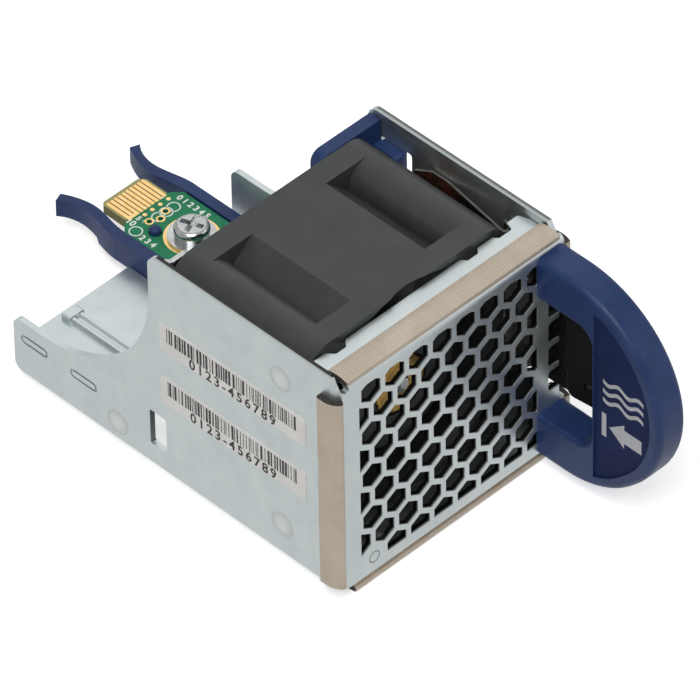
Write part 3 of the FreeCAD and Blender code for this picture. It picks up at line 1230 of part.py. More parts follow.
PARTS = {
    "front_shell": front_shell,
    "base_tray": base_tray,
    "plate_rivet": plate_rivet,
    "rear_retainer": rear_retainer,
    "gasket_top": gasket_top,
    "gasket_left": gasket_left,
    "gasket_right": gasket_right,
    "gasket_bottom": gasket_bottom,
    "pull_handle": handle,
    "handle_screws": handle_screws,
    "fan_housing": fan_housing,
    "bearing_sleeve": bearing_sleeve,
    "front_bearing_ring": lambda: bearing_outer(0),
    "rear_bearing_ring": lambda: bearing_outer(1),
    "stator_core": stator_core,
    "stator_windings": stator_windings,
    "motor_board": motor_board,
    "motor_chip": motor_chip,
    "impeller": impeller,
    "rotor_yoke": rotor_yoke,
    "rotor_magnet": rotor_magnet,
    "rotor_boss": rotor_boss,
    "rotor_shaft": rotor_shaft,
    "bearing_inner_races": bearing_inner_races,
    "preload_spring": preload_spring,
    "shaft_clip": shaft_clip,
    "latch_spring": latch_spring,
    "latch_rivets": latch_rivets,
    "thumb_tab": thumb_tab,
    "rear_carrier": rear_carrier,
    "screw_insert": screw_insert,
    "connector_board": connector_board,
    "contact_fingers": contact_fingers,
    "board_washer": board_washer,
    "board_screw": board_screw,
    "lead_red": lambda: fan_lead(0),
    "lead_black": lambda: fan_lead(1),
    "lead_yellow": lambda: fan_lead(2),
    "lead_blue": lambda: fan_lead(3),
}


def main():
    os.makedirs("parts", exist_ok=True)
    for name, make in PARTS.items():
        shape = make()
        assert shape.isValid() and shape.Volume > 0 and shape.Solids, name
        shape.exportStep("parts/" + name + ".step")


main()
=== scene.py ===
import json
import math
import random

import bmesh
import bpy
from mathutils import Matrix, Vector


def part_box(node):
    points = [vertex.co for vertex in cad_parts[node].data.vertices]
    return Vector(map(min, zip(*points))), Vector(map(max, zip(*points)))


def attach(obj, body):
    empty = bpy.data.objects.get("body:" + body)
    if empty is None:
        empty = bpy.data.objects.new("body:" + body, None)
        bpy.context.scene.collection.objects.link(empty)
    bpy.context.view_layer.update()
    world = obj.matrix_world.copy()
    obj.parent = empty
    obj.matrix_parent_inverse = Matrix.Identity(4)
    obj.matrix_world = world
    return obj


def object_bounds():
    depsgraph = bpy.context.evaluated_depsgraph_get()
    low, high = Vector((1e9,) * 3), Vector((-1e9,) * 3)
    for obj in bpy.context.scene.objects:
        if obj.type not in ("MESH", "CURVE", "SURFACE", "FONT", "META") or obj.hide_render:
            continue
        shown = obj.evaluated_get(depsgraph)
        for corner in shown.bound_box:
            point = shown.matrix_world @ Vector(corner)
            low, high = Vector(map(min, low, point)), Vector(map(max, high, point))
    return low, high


# Looks of the fan module. Lengths are written in millimetres in the frame of the
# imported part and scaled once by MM. The photograph is taken as 700 by 700 pixels.
MM = 0.001
PHOTO_SIZE = 700

# Camera, fitted to the plate, the walls and the honeycomb of the photograph, clipped in metres
CAMERA_PLACE = (-718.57, -715.07, 983.73)
CAMERA_AZIMUTH = -44.31
CAMERA_ELEVATION = 43.17
CAMERA_ROLL = -1.006
FOCAL_PIXELS = 9744
SENSOR_WIDTH = 36.0
CLIP_RANGE = (0.05, 20)

# Light that the camera, a reflection and a matt surface receive from all round
WORLD_SEEN = 1.0
WORLD_MIRRORED = 0.55
WORLD_SOFT = 0.24

# Floor: half its side in metres, its drop below the part in millimetres, its tone in
# reflections, and the light added for the camera, which shows it white but for the shadow
FLOOR_HALF = 2.0
FLOOR_DROP = 0.05
FLOOR_MIRRORED = 0.82
FLOOR_LIFT = 0.5

# Lamps: place from the object's middle and size in metres, power in watts
LAMPS = {
    "key": ((-0.35, -0.25, 0.75), 0.55, 4.6),
    "fill": ((0.55, -0.6, 0.35), 0.6, 0.8),
    "back": ((0.48, 0.49, 0.66), 1.0, 1.55),
}

# Stickers on the left wall: front end, back end, bottom, top
LABELS = {"upper": (6.9, 36.7, 24.3, 29.7), "lower": (7.0, 36.8, 13.7, 19.2)}
LABEL_CORNER = 0.8
LABEL_THICKNESS = 0.06
INK_THICKNESS = 0.015
BAR_HEIGHT = 2.75
BAR_TOP_MARGIN = 0.6
BAR_BACK_MARGIN = 1.5
BAR_FRONT_MARGIN = 1.8
BAR_WIDTHS = (0.14, 0.14, 0.28, 0.42)
BAR_GAPS = (0.16, 0.2, 0.32, 0.46)
LABEL_DIGITS = "0123-456789"
DIGIT_SIZE = 2.5
DIGIT_FOOT = 0.15
DIGIT_SPACING = 1.35
DIGIT_WEIGHT = 0.05

# Sunken panel of the handle, and the print on it as lengths along Y and Z
PANEL_DEPTH = 0.35
PANEL_NEAR = 0.05
STOP_BAR = (-13.6, -12.7, 12.35, 16.9)
ARROW_TIP = -14.2
ARROW_NECK = -17.16
ARROW_TAIL = -20.6
ARROW_MIDDLE = 14.7
ARROW_HALF_HEAD = 2.3
ARROW_HALF_SHAFT = 1.3
WAVES = 3
WAVE_SPAN = (-20.9, -12.9)
WAVE_LENGTH = 4
WAVE_STEPS = 24
WAVE_LOW = 19.3
WAVE_RISE = 1.75
WAVE_STROKE = 0.75
WAVE_HEIGHT = 0.45

# Conductive fabric
TWILL_PITCH = 0.34
TWILL_SLANT = 0.5
TWILL_STEP = TWILL_PITCH * math.hypot(1, TWILL_SLANT)

# A face looks along an axis if that share of its normal, or more, points there
FACING = 0.95

# Sheared edges of the sheet: field of the plate's holes (insets left and right, bottom, top),
# depth where painted shade in the holes starts, and the span of painted shade across both walls' tops,
# counted from the walls' outsides
SHEET = 1.0
HOLE_FIELD = (3.0, 0.5, 1.5, 38.0)
HOLE_FACING = 0.3
FACE_MARGIN = 0.02
TOP_BAND = 0.1
HOLE_SHADE_START = 0.16
WALL_TOP_SHADE_SPAN = (0.3, 0.5)
FAR_WALL_TOP_SHADE_SPAN = (-0.6, -0.4)

# Dimples of the left wall: where their painted highlight starts and ends, out from the wall
DIMPLE_HIGHLIGHT_SPAN = (0.12, -0.34)
DIMPLE_EDGE = 0.01

# Fine seam round the flush rivet
RIVET_RING = 1.05
SEAM_WIDTH = 0.16
SEAM_THICKNESS = 0.012

# Tongue of the connector board
TONGUE_LENGTH = 5.8
TONGUE_START = 0.45
TONGUE_SIDE = 0.35
TONGUE_CORNER_LEFT = 0.5
TONGUE_CORNER_RIGHT = 1.0
LAMINATE_SKIN = 0.02
FINGER_START = 0.5
GAP_THICKNESS = 0.012
JOINED_GAPS = ((8.3, 8.5), (9.1, 9.3))
JOINED_REACH = (0.12, 0.75)
JOINED_CLEARANCE = 0.01
JOINED_THICKNESS = 0.045

# Metal and white marks on the connector board: places across, and in front of the tongue's foot
METAL_THICKNESS = 0.03
MARK_THICKNESS = 0.02
PAD_RADIUS = 0.36
LAND_RADII = (0.72, 0.45)
PAD_ROW = ((10.18, 0.65), (11.76, 0.65), (13.4, 0.65), (15.1, 0.65))
TEST_HOLES = ((12.9, 2.3), (11.2, 3.0), (9.6, 2.2))
MARKED_SPOTS = ((11.25, 2.45), (12.85, 2.5), (14.39, 2.5), (6.7, 2.3))
RING_WIDTH = 0.2
RING_RADIUS = 1.1
GROUND_RING = (4.35, 1.7)
GROUND_STEPS = 40

# White numbers on the board: text, place across, place behind the tongue's foot, size
BOARD_NUMBERS = (
    ("10", 7.6, -0.35, 1.6),
    ("1", 14.9, 0.2, 1.6),
    ("2 3 4", 6.4, -5.2, 1.5),
    ("0 1 2 3 4 5", 16.5, -4.6, 1.5),
    ("5 6", 9.0, -1.1, 1.3),
)

# Fineness of round outlines
CORNER_STEPS = 5
RING_STEPS = 28
DISC_STEPS = 24

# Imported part, and the planes on which the wall's and the handle's prints lie
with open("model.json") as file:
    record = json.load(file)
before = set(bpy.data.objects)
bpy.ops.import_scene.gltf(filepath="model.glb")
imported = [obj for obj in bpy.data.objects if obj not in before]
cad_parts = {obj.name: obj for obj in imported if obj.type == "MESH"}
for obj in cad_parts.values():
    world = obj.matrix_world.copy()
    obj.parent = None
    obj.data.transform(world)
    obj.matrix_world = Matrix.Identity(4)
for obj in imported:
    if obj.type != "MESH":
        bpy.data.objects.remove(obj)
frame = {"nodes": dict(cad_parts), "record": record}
cad_low, cad_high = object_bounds()
NODES = frame["nodes"]
WALL_X = -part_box("front_shell")[1].x / MM
PANEL_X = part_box("pull_handle")[0].x / MM + PANEL_DEPTH


def mm(x, y, z):
    """Point given in millimetres, as the scene's metres."""
    return Vector((x, y, z)) * MM


def linear(red, green, blue):
    """Screen colour, 0 to 255, as the linear colour that a shader takes."""
    def channel(value):
        value /= 255
        return value / 12.92 if value <= 0.04045 else ((value + 0.055) / 1.055) ** 2.4
    return (channel(red), channel(green), channel(blue), 1)


class Graph:
    """Short way to add and join the nodes of one material."""

    def __init__(self, name):
        self.material = bpy.data.materials.new(name)
        self.material.use_nodes = True
        self.tree = self.material.node_tree
        self.shader = self.tree.nodes["Principled BSDF"]
        self.place = self.add("ShaderNodeTexCoord").outputs["Object"]

    def add(self, kind, **values):
        node = self.tree.nodes.new(kind)
        for key, value in values.items():
            setattr(node, key, value)
        return node

    def join(self, source, target):
        self.tree.links.new(source, target)

    def feed(self, target, value):
        if isinstance(value, bpy.types.NodeSocket):
            self.join(value, target)
        else:
            target.default_value = value

    def stretch(self, scale):
        node = self.add("ShaderNodeMapping")
        node.inputs["Scale"].default_value = scale
        self.join(self.place, node.inputs["Vector"])
        return node.outputs["Vector"]

    def noise(self, scale, detail=3.0, rough=0.55, place=None):
        node = self.add("ShaderNodeTexNoise")
        node.inputs["Scale"].default_value = scale
        node.inputs["Detail"].default_value = detail
        node.inputs["Roughness"].default_value = rough
        self.join(place or self.place, node.inputs["Vector"])
        return node.outputs["Fac"]

    def cells(self, scale, feature="F1"):
        node = self.add("ShaderNodeTexVoronoi", feature=feature)
        node.inputs["Scale"].default_value = scale
        self.join(self.place, node.inputs["Vector"])
        return node.outputs["Distance"]

    def maths(self, operation, first, second=0.0):
        node = self.add("ShaderNodeMath", operation=operation)
        self.feed(node.inputs[0], first)
        self.feed(node.inputs[1], second)
        return node.outputs[0]

    def span(self, value, low, high, to_low=0.0, to_high=1.0):
        node = self.add("ShaderNodeMapRange")
        self.feed(node.inputs["Value"], value)
        node.inputs["From Min"].default_value = low
        node.inputs["From Max"].default_value = high
        node.inputs["To Min"].default_value = to_low
        node.inputs["To Max"].default_value = to_high
        return node.outputs["Result"]

    def blend(self, factor, first, second):
        node = self.add("ShaderNodeMix", data_type="RGBA")
        self.feed(node.inputs["Factor"], factor)
        self.feed(node.inputs["A"], first)
        self.feed(node.inputs["B"], second)
        return node.outputs["Result"]

    def bump(self, height, strength, distance):
        node = self.add("ShaderNodeBump")
        node.inputs["Strength"].default_value = strength
        node.inputs["Distance"].default_value = distance * MM
        self.join(height, node.inputs["Height"])
        self.join(node.outputs["Normal"], self.shader.inputs["Normal"])

    def finish(self, colour, roughness, metallic=0.0, specular=0.5):
        self.feed(self.shader.inputs["Base Color"], colour)
        self.feed(self.shader.inputs["Roughness"], roughness)
        self.shader.inputs["Metallic"].default_value = metallic
        self.shader.inputs["Specular IOR Level"].default_value = specular
        return self.material


def zinc_sheet():
    """Zinc plated sheet: cool pale grey with faint mottling, fine grain and handling wear."""
    g = Graph("zinc_sheet")
    mottle = g.span(g.noise(210, detail=5), 0.35, 0.65)
    spangle = g.span(g.cells(430), 0.0, 0.7)
    streak = g.span(g.noise(1.0, 4, 0.6, g.stretch((420, 420, 60))), 0.35, 0.7)
    grain = g.noise(1.0, 3, 0.6, g.stretch((900, 900, 6000)))
    mixed = g.maths("ADD", g.maths("MULTIPLY", mottle, 0.45), g.maths("MULTIPLY", spangle, 0.25))
    mixed = g.maths("ADD", mixed, g.maths("MULTIPLY", streak, 0.3))
    colour = g.blend(mixed, linear(196, 205, 206), linear(214, 221, 221))
    rough = g.span(g.maths("ADD", mixed, g.maths("MULTIPLY", grain, 0.4)), 0.2, 1.3, 0.30, 0.46)
    g.bump(grain, strength=0.08, distance=0.02)
    return g.finish(colour, rough, metallic=0.94)


def plated(name, low, high, roughness):
    """Small turned or stamped parts with a bright plated skin."""
    g = Graph(name)
    cloud = g.span(g.noise(900, detail=4), 0.3, 0.7)
    rough = g.span(g.noise(2070, detail=3), 0.3, 0.7, roughness - 0.06, roughness + 0.08)
    g.bump(g.noise(2700, detail=2), strength=0.02, distance=0.01)
    return g.finish(g.blend(cloud, low, high), rough, metallic=1.0)


def zinc_painted_light_ramp(name, direction, origin, reach, far):
    """Bare zinc with painted light: its tone changes along one axis, from the plain zinc
    colour to a painted shade or a painted highlight."""
    g = Graph(name)
    axis = g.add("ShaderNodeSeparateXYZ")
    g.join(g.place, axis.inputs[0])
    start, end = ((origin + distance) * MM for distance in reach)
    depth = g.span(axis.outputs[direction], start, end)
    colour = g.blend(depth, linear(176, 184, 184), far)
    return g.finish(colour, 0.45, metallic=0.6)


def moulded(name, low, high, roughness, specular=0.5):
    """Moulded plastic: even colour, fine spark-eroded grain and small scuffs."""
    g = Graph(name)
    cloud = g.span(g.noise(180, detail=3), 0.35, 0.65)
    dust = g.span(g.cells(700), 0.0, 0.05, 1.0, 0.0)
    colour = g.blend(cloud, low, high)
    pale = tuple(0.5 * (c + 0.35) for c in high[:3]) + (1,)
    colour = g.blend(g.maths("MULTIPLY", dust, 0.35), colour, pale)
    rough = g.span(g.noise(900, detail=4), 0.3, 0.7, roughness - 0.07, roughness + 0.07)
    g.bump(g.noise(4200, detail=2), strength=0.12, distance=0.02)
    return g.finish(colour, rough, specular=specular)


def weave_fabric():
    """Metallised fabric: a slanted, slightly uneven twill with soft soiling."""
    g = Graph("conductive_fabric")
    axis = g.add("ShaderNodeSeparateXYZ")
    g.join(g.place, axis.inputs[0])
    along = g.maths("ADD", axis.outputs["X"], axis.outputs["Z"])
    slanted = g.maths("SUBTRACT", along, g.maths("MULTIPLY", axis.outputs["Y"], TWILL_SLANT))
    wave = g.maths("SINE", g.maths("MULTIPLY", slanted, math.pi / (TWILL_STEP * MM)))
    twill = g.maths("MULTIPLY", g.maths("ABSOLUTE", wave), 0.75)
    cloth = g.maths("ADD", twill, g.maths("MULTIPLY", g.noise(3000, detail=2), 0.25))
    soil = g.span(g.noise(240, detail=4), 0.3, 0.7)
    base = g.blend(soil, linear(204, 192, 176), linear(222, 211, 197))
    colour = g.blend(cloth, linear(158, 142, 122), base)
    g.bump(cloth, strength=0.45, distance=0.06)
    return g.finish(colour, 0.5, metallic=0.3)


def solder_mask():
    """Green board: copper under the mask shows as paler fields and fine lines."""
    g = Graph("board_green")
    pour = g.span(g.cells(230, "DISTANCE_TO_EDGE"), 0.03, 0.05)
    colour = g.blend(pour, linear(30, 118, 80), linear(34, 130, 88))
    g.bump(pour, strength=0.10, distance=0.02)
    rough = g.span(g.noise(1500, detail=2), 0.3, 0.7, 0.30, 0.38)
    return g.finish(colour, rough, specular=0.2)


def bare_laminate():
    """Green-yellow glass laminate with fine threads."""
    g = Graph("bare_laminate")
    thread = g.noise(1.0, 2, 0.5, g.stretch((2500, 400, 400)))
    return g.finish(g.blend(thread, linear(150, 148, 92), linear(172, 168, 112)), 0.45)


def lead_skin(name, colour):
    """Soft plastic round a lead."""
    g = Graph(name)
    cloud = g.span(g.noise(700, detail=3), 0.3, 0.7)
    dark = tuple(c * 0.75 for c in colour[:3]) + (1,)
    g.bump(g.noise(2600, detail=2), strength=0.06, distance=0.01)
    return g.finish(g.blend(cloud, dark, colour), 0.36)


def sticker_paper():
    """Off-white paper with a faint grain."""
    g = Graph("sticker_paper")
    cloud = g.span(g.noise(320, detail=4), 0.3, 0.7)
    g.bump(g.noise(5200, detail=3), strength=0.12, distance=0.02)
    return g.finish(g.blend(cloud, linear(222, 219, 215), linear(234, 231, 228)), 0.5)


def ink(name, colour, roughness=0.5):
    """Printed colour, slightly uneven."""
    g = Graph(name)
    cloud = g.span(g.noise(1800, detail=4), 0.25, 0.75)
    pale = tuple(min(1.0, c * 1.25 + 0.01) for c in colour[:3]) + (1,)
    return g.finish(g.blend(cloud, colour, pale), roughness)


def foam():
    """Dark open foam."""
    g = Graph("gasket_foam")
    hole = g.span(g.cells(4000), 0.1, 0.6)
    g.bump(hole, strength=0.6, distance=0.08)
    return g.finish(g.blend(hole, linear(24, 23, 22), linear(58, 54, 50)), 0.85)


def copper_wire():
    """Enamelled wire, wound side by side."""
    g = Graph("winding_wire")
    turn = g.noise(1.0, 1, 0.5, g.stretch((900, 6000, 900)))
    g.bump(turn, strength=0.4, distance=0.05)
    return g.finish(g.blend(turn, linear(120, 58, 30), linear(196, 112, 62)), 0.35, metallic=0.8)


MATERIALS = {
    "zinc_sheet": zinc_sheet(),
    "nickel_plate": plated("nickel_plate", linear(178, 180, 180), linear(206, 208, 208), 0.15),
    "spring_steel": plated("spring_steel", linear(120, 118, 112), linear(150, 147, 140), 0.32),
    "conductive_fabric": weave_fabric(),
    "blue_plastic": moulded("blue_plastic", linear(32, 51, 95), linear(38, 59, 105), 0.42, 0.3),
    "black_plastic": moulded("black_plastic", linear(54, 56, 57), linear(61, 63, 64), 0.38, 0.4),
    "brass": plated("brass", linear(196, 152, 78), linear(224, 184, 108), 0.28),
    "bearing_steel": plated("bearing_steel", linear(176, 178, 180), linear(206, 208, 210), 0.18),
    "core_steel": plated("core_steel", linear(90, 92, 96), linear(120, 122, 126), 0.42),
    "copper": copper_wire(),
    "magnet": moulded("magnet", linear(40, 38, 38), linear(50, 48, 48), 0.55),
    "board_green": solder_mask(),
    "chip_black": moulded("chip_black", linear(28, 28, 29), linear(36, 36, 37), 0.5),
    "gold_contact": plated("gold_contact", linear(250, 206, 132), linear(254, 222, 158), 0.34),
    "lead_red": lead_skin("lead_red", linear(170, 34, 28)),
    "lead_black": lead_skin("lead_black", linear(34, 33, 34)),
    "lead_yellow": lead_skin("lead_yellow", linear(206, 170, 44)),
    "lead_blue": lead_skin("lead_blue", linear(38, 70, 150)),
}
PAPER = sticker_paper()
BLACK_INK = ink("black_ink", linear(26, 26, 28))
WHITE_INK = ink("white_ink", linear(226, 230, 226))
GREY_INK = ink("grey_ink", linear(170, 172, 176), 0.42)
LAMINATE = bare_laminate()
FOAM = foam()
# Painted shade inside the plate's holes, dark behind a thin front rim
HOLE_WALL_SHADE = zinc_painted_light_ramp("hole_wall_painted_shade", "Y", 0, (HOLE_SHADE_START, 2 * HOLE_SHADE_START), linear(20, 20, 20))
# Painted shade across the inner side of the left wall's top, leaving a thin lit line along its outside
WALL_TOP_SHADE = zinc_painted_light_ramp("wall_top_painted_shade", "X", WALL_X, WALL_TOP_SHADE_SPAN, linear(48, 47, 44))
# Painted shade across the outer side of the far wall's top
FAR_WALL_TOP_SHADE = zinc_painted_light_ramp("far_wall_top_painted_shade", "X", -WALL_X, FAR_WALL_TOP_SHADE_SPAN, linear(112, 114, 114))
# Painted highlight on the dimples, brightest at their tips and darker towards their rims
DIMPLE_HIGHLIGHT = zinc_painted_light_ramp("dimple_painted_highlight", "X", WALL_X, DIMPLE_HIGHLIGHT_SPAN, linear(226, 231, 229))
GAP_BROWN = ink("gap_brown", linear(104, 72, 34))
SEAM_GREY = ink("seam_grey", linear(104, 104, 98))
# Matter copy of the blue plastic for the handle's sunken panel; its darker blue is painted shade
PANEL_SHADED_BLUE = moulded("panel_blue_painted_shade", linear(28, 38, 74), linear(33, 44, 83), 0.6, 0.08)
SOFT_BLACK = moulded("soft_black", linear(20, 20, 20), linear(26, 26, 26), 0.6, 0.15)


def dress_cad_nodes():
    """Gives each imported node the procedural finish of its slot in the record."""
    slots = {row["node"]: row["material_slot"] for row in frame["record"]["subparts"]}
    for name, node in NODES.items():
        node.data.materials.clear()
        node.data.materials.append(MATERIALS[slots[name]])
        for face in node.data.polygons:
            face.material_index = 0
    NODES["thumb_tab"].data.materials[0] = SOFT_BLACK


def paint_faces(name, material, wanted):
    """Second finish for the faces of a node that wanted(centre, normal) picks, in millimetres."""
    mesh = NODES[name].data
    mesh.materials.append(material)
    for face in mesh.polygons:
        if wanted(face.center / MM, face.normal):
            face.material_index = len(mesh.materials) - 1


def sheet_edges():
    """Painted shade inside the plate's holes and across the tops of both walls, and painted highlights
    on the dimples.
    """
    low, high = (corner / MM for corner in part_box("front_shell"))
    left, right, bottom, top = HOLE_FIELD

    def hole_wall(centre, normal):
        in_field = low.x + left < centre.x < high.x - right and bottom < centre.z < top
        in_sheet = low.y + FACE_MARGIN < centre.y < low.y + SHEET - FACE_MARGIN
        return in_field and in_sheet and abs(normal.y) < HOLE_FACING

    def wall_top(centre, normal):
        return normal.z > FACING and centre.z > high.z - TOP_BAND

    def left_wall_top(centre, normal):
        return wall_top(centre, normal) and centre.x < WALL_X + SHEET + TOP_BAND

    def dimple(centre, normal):
        return normal.x < -FACING and centre.x < WALL_X - DIMPLE_EDGE

    paint_faces("front_shell", HOLE_WALL_SHADE, hole_wall)
    paint_faces("front_shell", WALL_TOP_SHADE, left_wall_top)
    paint_faces("front_shell", DIMPLE_HIGHLIGHT, dimple)
    paint_faces("base_tray", FAR_WALL_TOP_SHADE, wall_top)


def rivet_ring():
    """Fine seam round the flush rivet of the front plate."""
    low, high = (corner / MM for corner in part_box("plate_rivet"))
    middle = (low + high) / 2
    ring = ring_outline(middle.x, middle.z, RIVET_RING, RIVET_RING - SEAM_WIDTH)

    def place(u, v, height):
        return mm(u, low.y - height, v)

    flat_piece("rivet_seam", ring, place, SEAM_THICKNESS, SEAM_GREY)


def mesh_piece(name, mesh, material):
    """Piece of the chassis from a finished mesh."""
    piece = bpy.data.objects.new(name, mesh)
    bpy.context.scene.collection.objects.link(piece)
    piece.data.materials.append(material)
    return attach(piece, "chassis")


def flat_piece(name, outlines, place, thickness, material):
    """Thin raised shapes from flat outlines; place maps (u, v, height) into the frame."""
    work = bmesh.new()
    for outline in outlines:
        low = [work.verts.new(place(u, v, 0)) for u, v in outline]
        high = [work.verts.new(place(u, v, thickness)) for u, v in outline]
        work.faces.new(high)
        work.faces.new(low[::-1])
        for k in range(len(outline)):
            nxt = (k + 1) % len(outline)
            work.faces.new([low[k], low[nxt], high[nxt], high[k]])
    bmesh.ops.recalc_face_normals(work, faces=work.faces)
    mesh = bpy.data.meshes.new(name)
    work.to_mesh(mesh)
    work.free()
    return mesh_piece(name, mesh, material)


def rounded_box(u0, u1, v0, v1, radius):
    """Outline of a rectangle with round corners."""
    points = []
    corners = [(u1 - radius, v1 - radius, 0), (u0 + radius, v1 - radius, 90),
               (u0 + radius, v0 + radius, 180), (u1 - radius, v0 + radius, 270)]
    for cu, cv, start in corners:
        for k in range(CORNER_STEPS + 1):
            angle = math.radians(start + 90 * k / CORNER_STEPS)
            points.append((cu + radius * math.cos(angle), cv + radius * math.sin(angle)))
    return points


def rectangle(u0, u1, v0, v1):
    return [(u0, v0), (u1, v0), (u1, v1), (u0, v1)]


def ring_outline(cu, cv, outer, inner, steps=RING_STEPS):
    """Ring as quads, each one an outline of its own."""
    parts = []
    for k in range(steps):
        a, b = (2 * math.pi * (k + d) / steps for d in (0, 1))
        parts.append([(cu + r * math.cos(t), cv + r * math.sin(t))
                      for r, t in ((inner, a), (outer, a), (outer, b), (inner, b))])
    return parts


def disc_outline(cu, cv, radius):
    angles = [2 * math.pi * k / DISC_STEPS for k in range(DISC_STEPS)]
    return [(cu + radius * math.cos(a), cv + radius * math.sin(a)) for a in angles]


def on_left_wall(lift):
    """Places of a print on the left wall, seen from outside, lift above the sheet."""
    def place(u, v, height):
        return mm(WALL_X - lift - height, u, v)
    return place


def barcode(name, front, back, top, seed):
    """Generic bars of random widths, which carry no data."""
    chance = random.Random(seed)
    bars = []
    y = back - BAR_BACK_MARGIN
    high = top - BAR_TOP_MARGIN
    while y > front + BAR_FRONT_MARGIN:
        width = chance.choice(BAR_WIDTHS)
        bars.append(rectangle(y - width, y, high - BAR_HEIGHT, high))
        y -= width + chance.choice(BAR_GAPS)
    flat_piece(name + "_bars", bars, on_left_wall(LABEL_THICKNESS), INK_THICKNESS, BLACK_INK)


def digits(name, text, place, size, material, spacing=1.0):
    """Plain digits as a thin mesh; place is a matrix that carries them to their surface."""
    curve = bpy.data.curves.new(name, "FONT")
    curve.body = text
    curve.size = size * MM
    curve.extrude = INK_THICKNESS * MM / 2
    curve.align_x = "CENTER"
    curve.space_character = spacing
    curve.offset = DIGIT_WEIGHT * MM
    holder = bpy.data.objects.new(name + "_curve", curve)
    bpy.context.scene.collection.objects.link(holder)
    bpy.context.view_layer.update()
    mesh = bpy.data.meshes.new_from_object(holder)
    bpy.data.objects.remove(holder)
    mesh.transform(place)
    mesh.name = name
    mesh.materials.clear()
    return mesh_piece(name, mesh, material)


def basis(origin, right, up):
    """Matrix whose X runs to the right of a print, Y up it, and Z out of the surface."""
    right, up = Vector(right).normalized(), Vector(up).normalized()
    out = right.cross(up)
    made = Matrix((right, up, out)).transposed().to_4x4()
    made.translation = origin
    return made


def wall_labels():
    """Two pale stickers, each with generic bars and a row of plain digits."""
    for name, (front, back, bottom, top) in LABELS.items():
        outline = rounded_box(front, back, bottom, top, LABEL_CORNER)
        flat_piece("label_" + name, [outline], on_left_wall(0), LABEL_THICKNESS, PAPER)
        barcode("label_" + name, front, back, top, len(name) + int(bottom))
        on_label = on_left_wall(LABEL_THICKNESS + INK_THICKNESS / 2)
        foot = basis(on_label((front + back) / 2, bottom + DIGIT_FOOT, 0), (0, -1, 0), (0, 0, 1))
        digits("label_" + name + "_digits", LABEL_DIGITS, foot, DIGIT_SIZE, BLACK_INK, DIGIT_SPACING)


def handle_print():
    """Generic air-flow mark: three waves, and an arrow that points at a bar."""
    def place(u, v, height):
        return mm(PANEL_X - height, u, v)

    middle = ARROW_MIDDLE
    upper = [(ARROW_NECK, middle + ARROW_HALF_HEAD), (ARROW_NECK, middle + ARROW_HALF_SHAFT),
             (ARROW_TAIL, middle + ARROW_HALF_SHAFT)]
    lower = [(y, 2 * middle - z) for y, z in upper[::-1]]
    arrow = [(ARROW_TIP, middle)] + upper + lower
    flat_piece("handle_arrow", [arrow, rectangle(*STOP_BAR)], place, INK_THICKNESS, GREY_INK)
    flat_piece("handle_waves", wave_outlines(), place, INK_THICKNESS, GREY_INK)


def wave_outlines():
    """Waves one above the other, each as a row of quads."""
    start, end = WAVE_SPAN
    quads = []
    for k in range(WAVES):
        for step in range(WAVE_STEPS):
            ends = [start + (end - start) * (step + d) / WAVE_STEPS for d in (0, 1)]
            lower = [(y, WAVE_LOW + WAVE_RISE * k + wave_height(y - start)) for y in ends]
            upper = [(y, z + WAVE_STROKE) for y, z in lower[::-1]]
            quads.append(lower + upper)
    return quads


def wave_height(distance):
    return WAVE_HEIGHT * math.sin(2 * math.pi * distance / WAVE_LENGTH)


def board_details():
    """Bare laminate of the tongue, plated rings and pads, and plain white marks on the board."""
    low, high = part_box("connector_board")
    top = high.z / MM
    foot = high.y / MM - TONGUE_LENGTH
    screw = (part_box("board_washer")[0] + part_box("board_washer")[1]) / 2 / MM

    def place(u, v, height):
        return mm(u, v, top + height)

    gold = MATERIALS["gold_contact"]
    tongue_skin(low, high, foot)
    ground = ring_outline(screw.x, screw.y, *GROUND_RING, GROUND_STEPS)
    flat_piece("ground_ring", ground, place, METAL_THICKNESS, gold)
    pads = [disc_outline(x, foot - y, PAD_RADIUS) for x, y in PAD_ROW]
    flat_piece("round_pads", pads, place, METAL_THICKNESS, gold)
    lands = [quad for x, y in TEST_HOLES for quad in ring_outline(x, foot - y, *LAND_RADII)]
    circles = [quad for x, y in MARKED_SPOTS
               for quad in ring_outline(x, foot - y, RING_RADIUS, RING_RADIUS - RING_WIDTH)]
    flat_piece("test_lands", lands, place, METAL_THICKNESS, gold)
    flat_piece("board_circles", circles, place, MARK_THICKNESS, WHITE_INK)
    for k, (text, x, y, size) in enumerate(BOARD_NUMBERS):
        spot = place(x - size / 3, foot + y, MARK_THICKNESS)
        digits("board_number_" + str(k), text, basis(spot, (0, -1, 0), (1, 0, 0)), size, WHITE_INK)


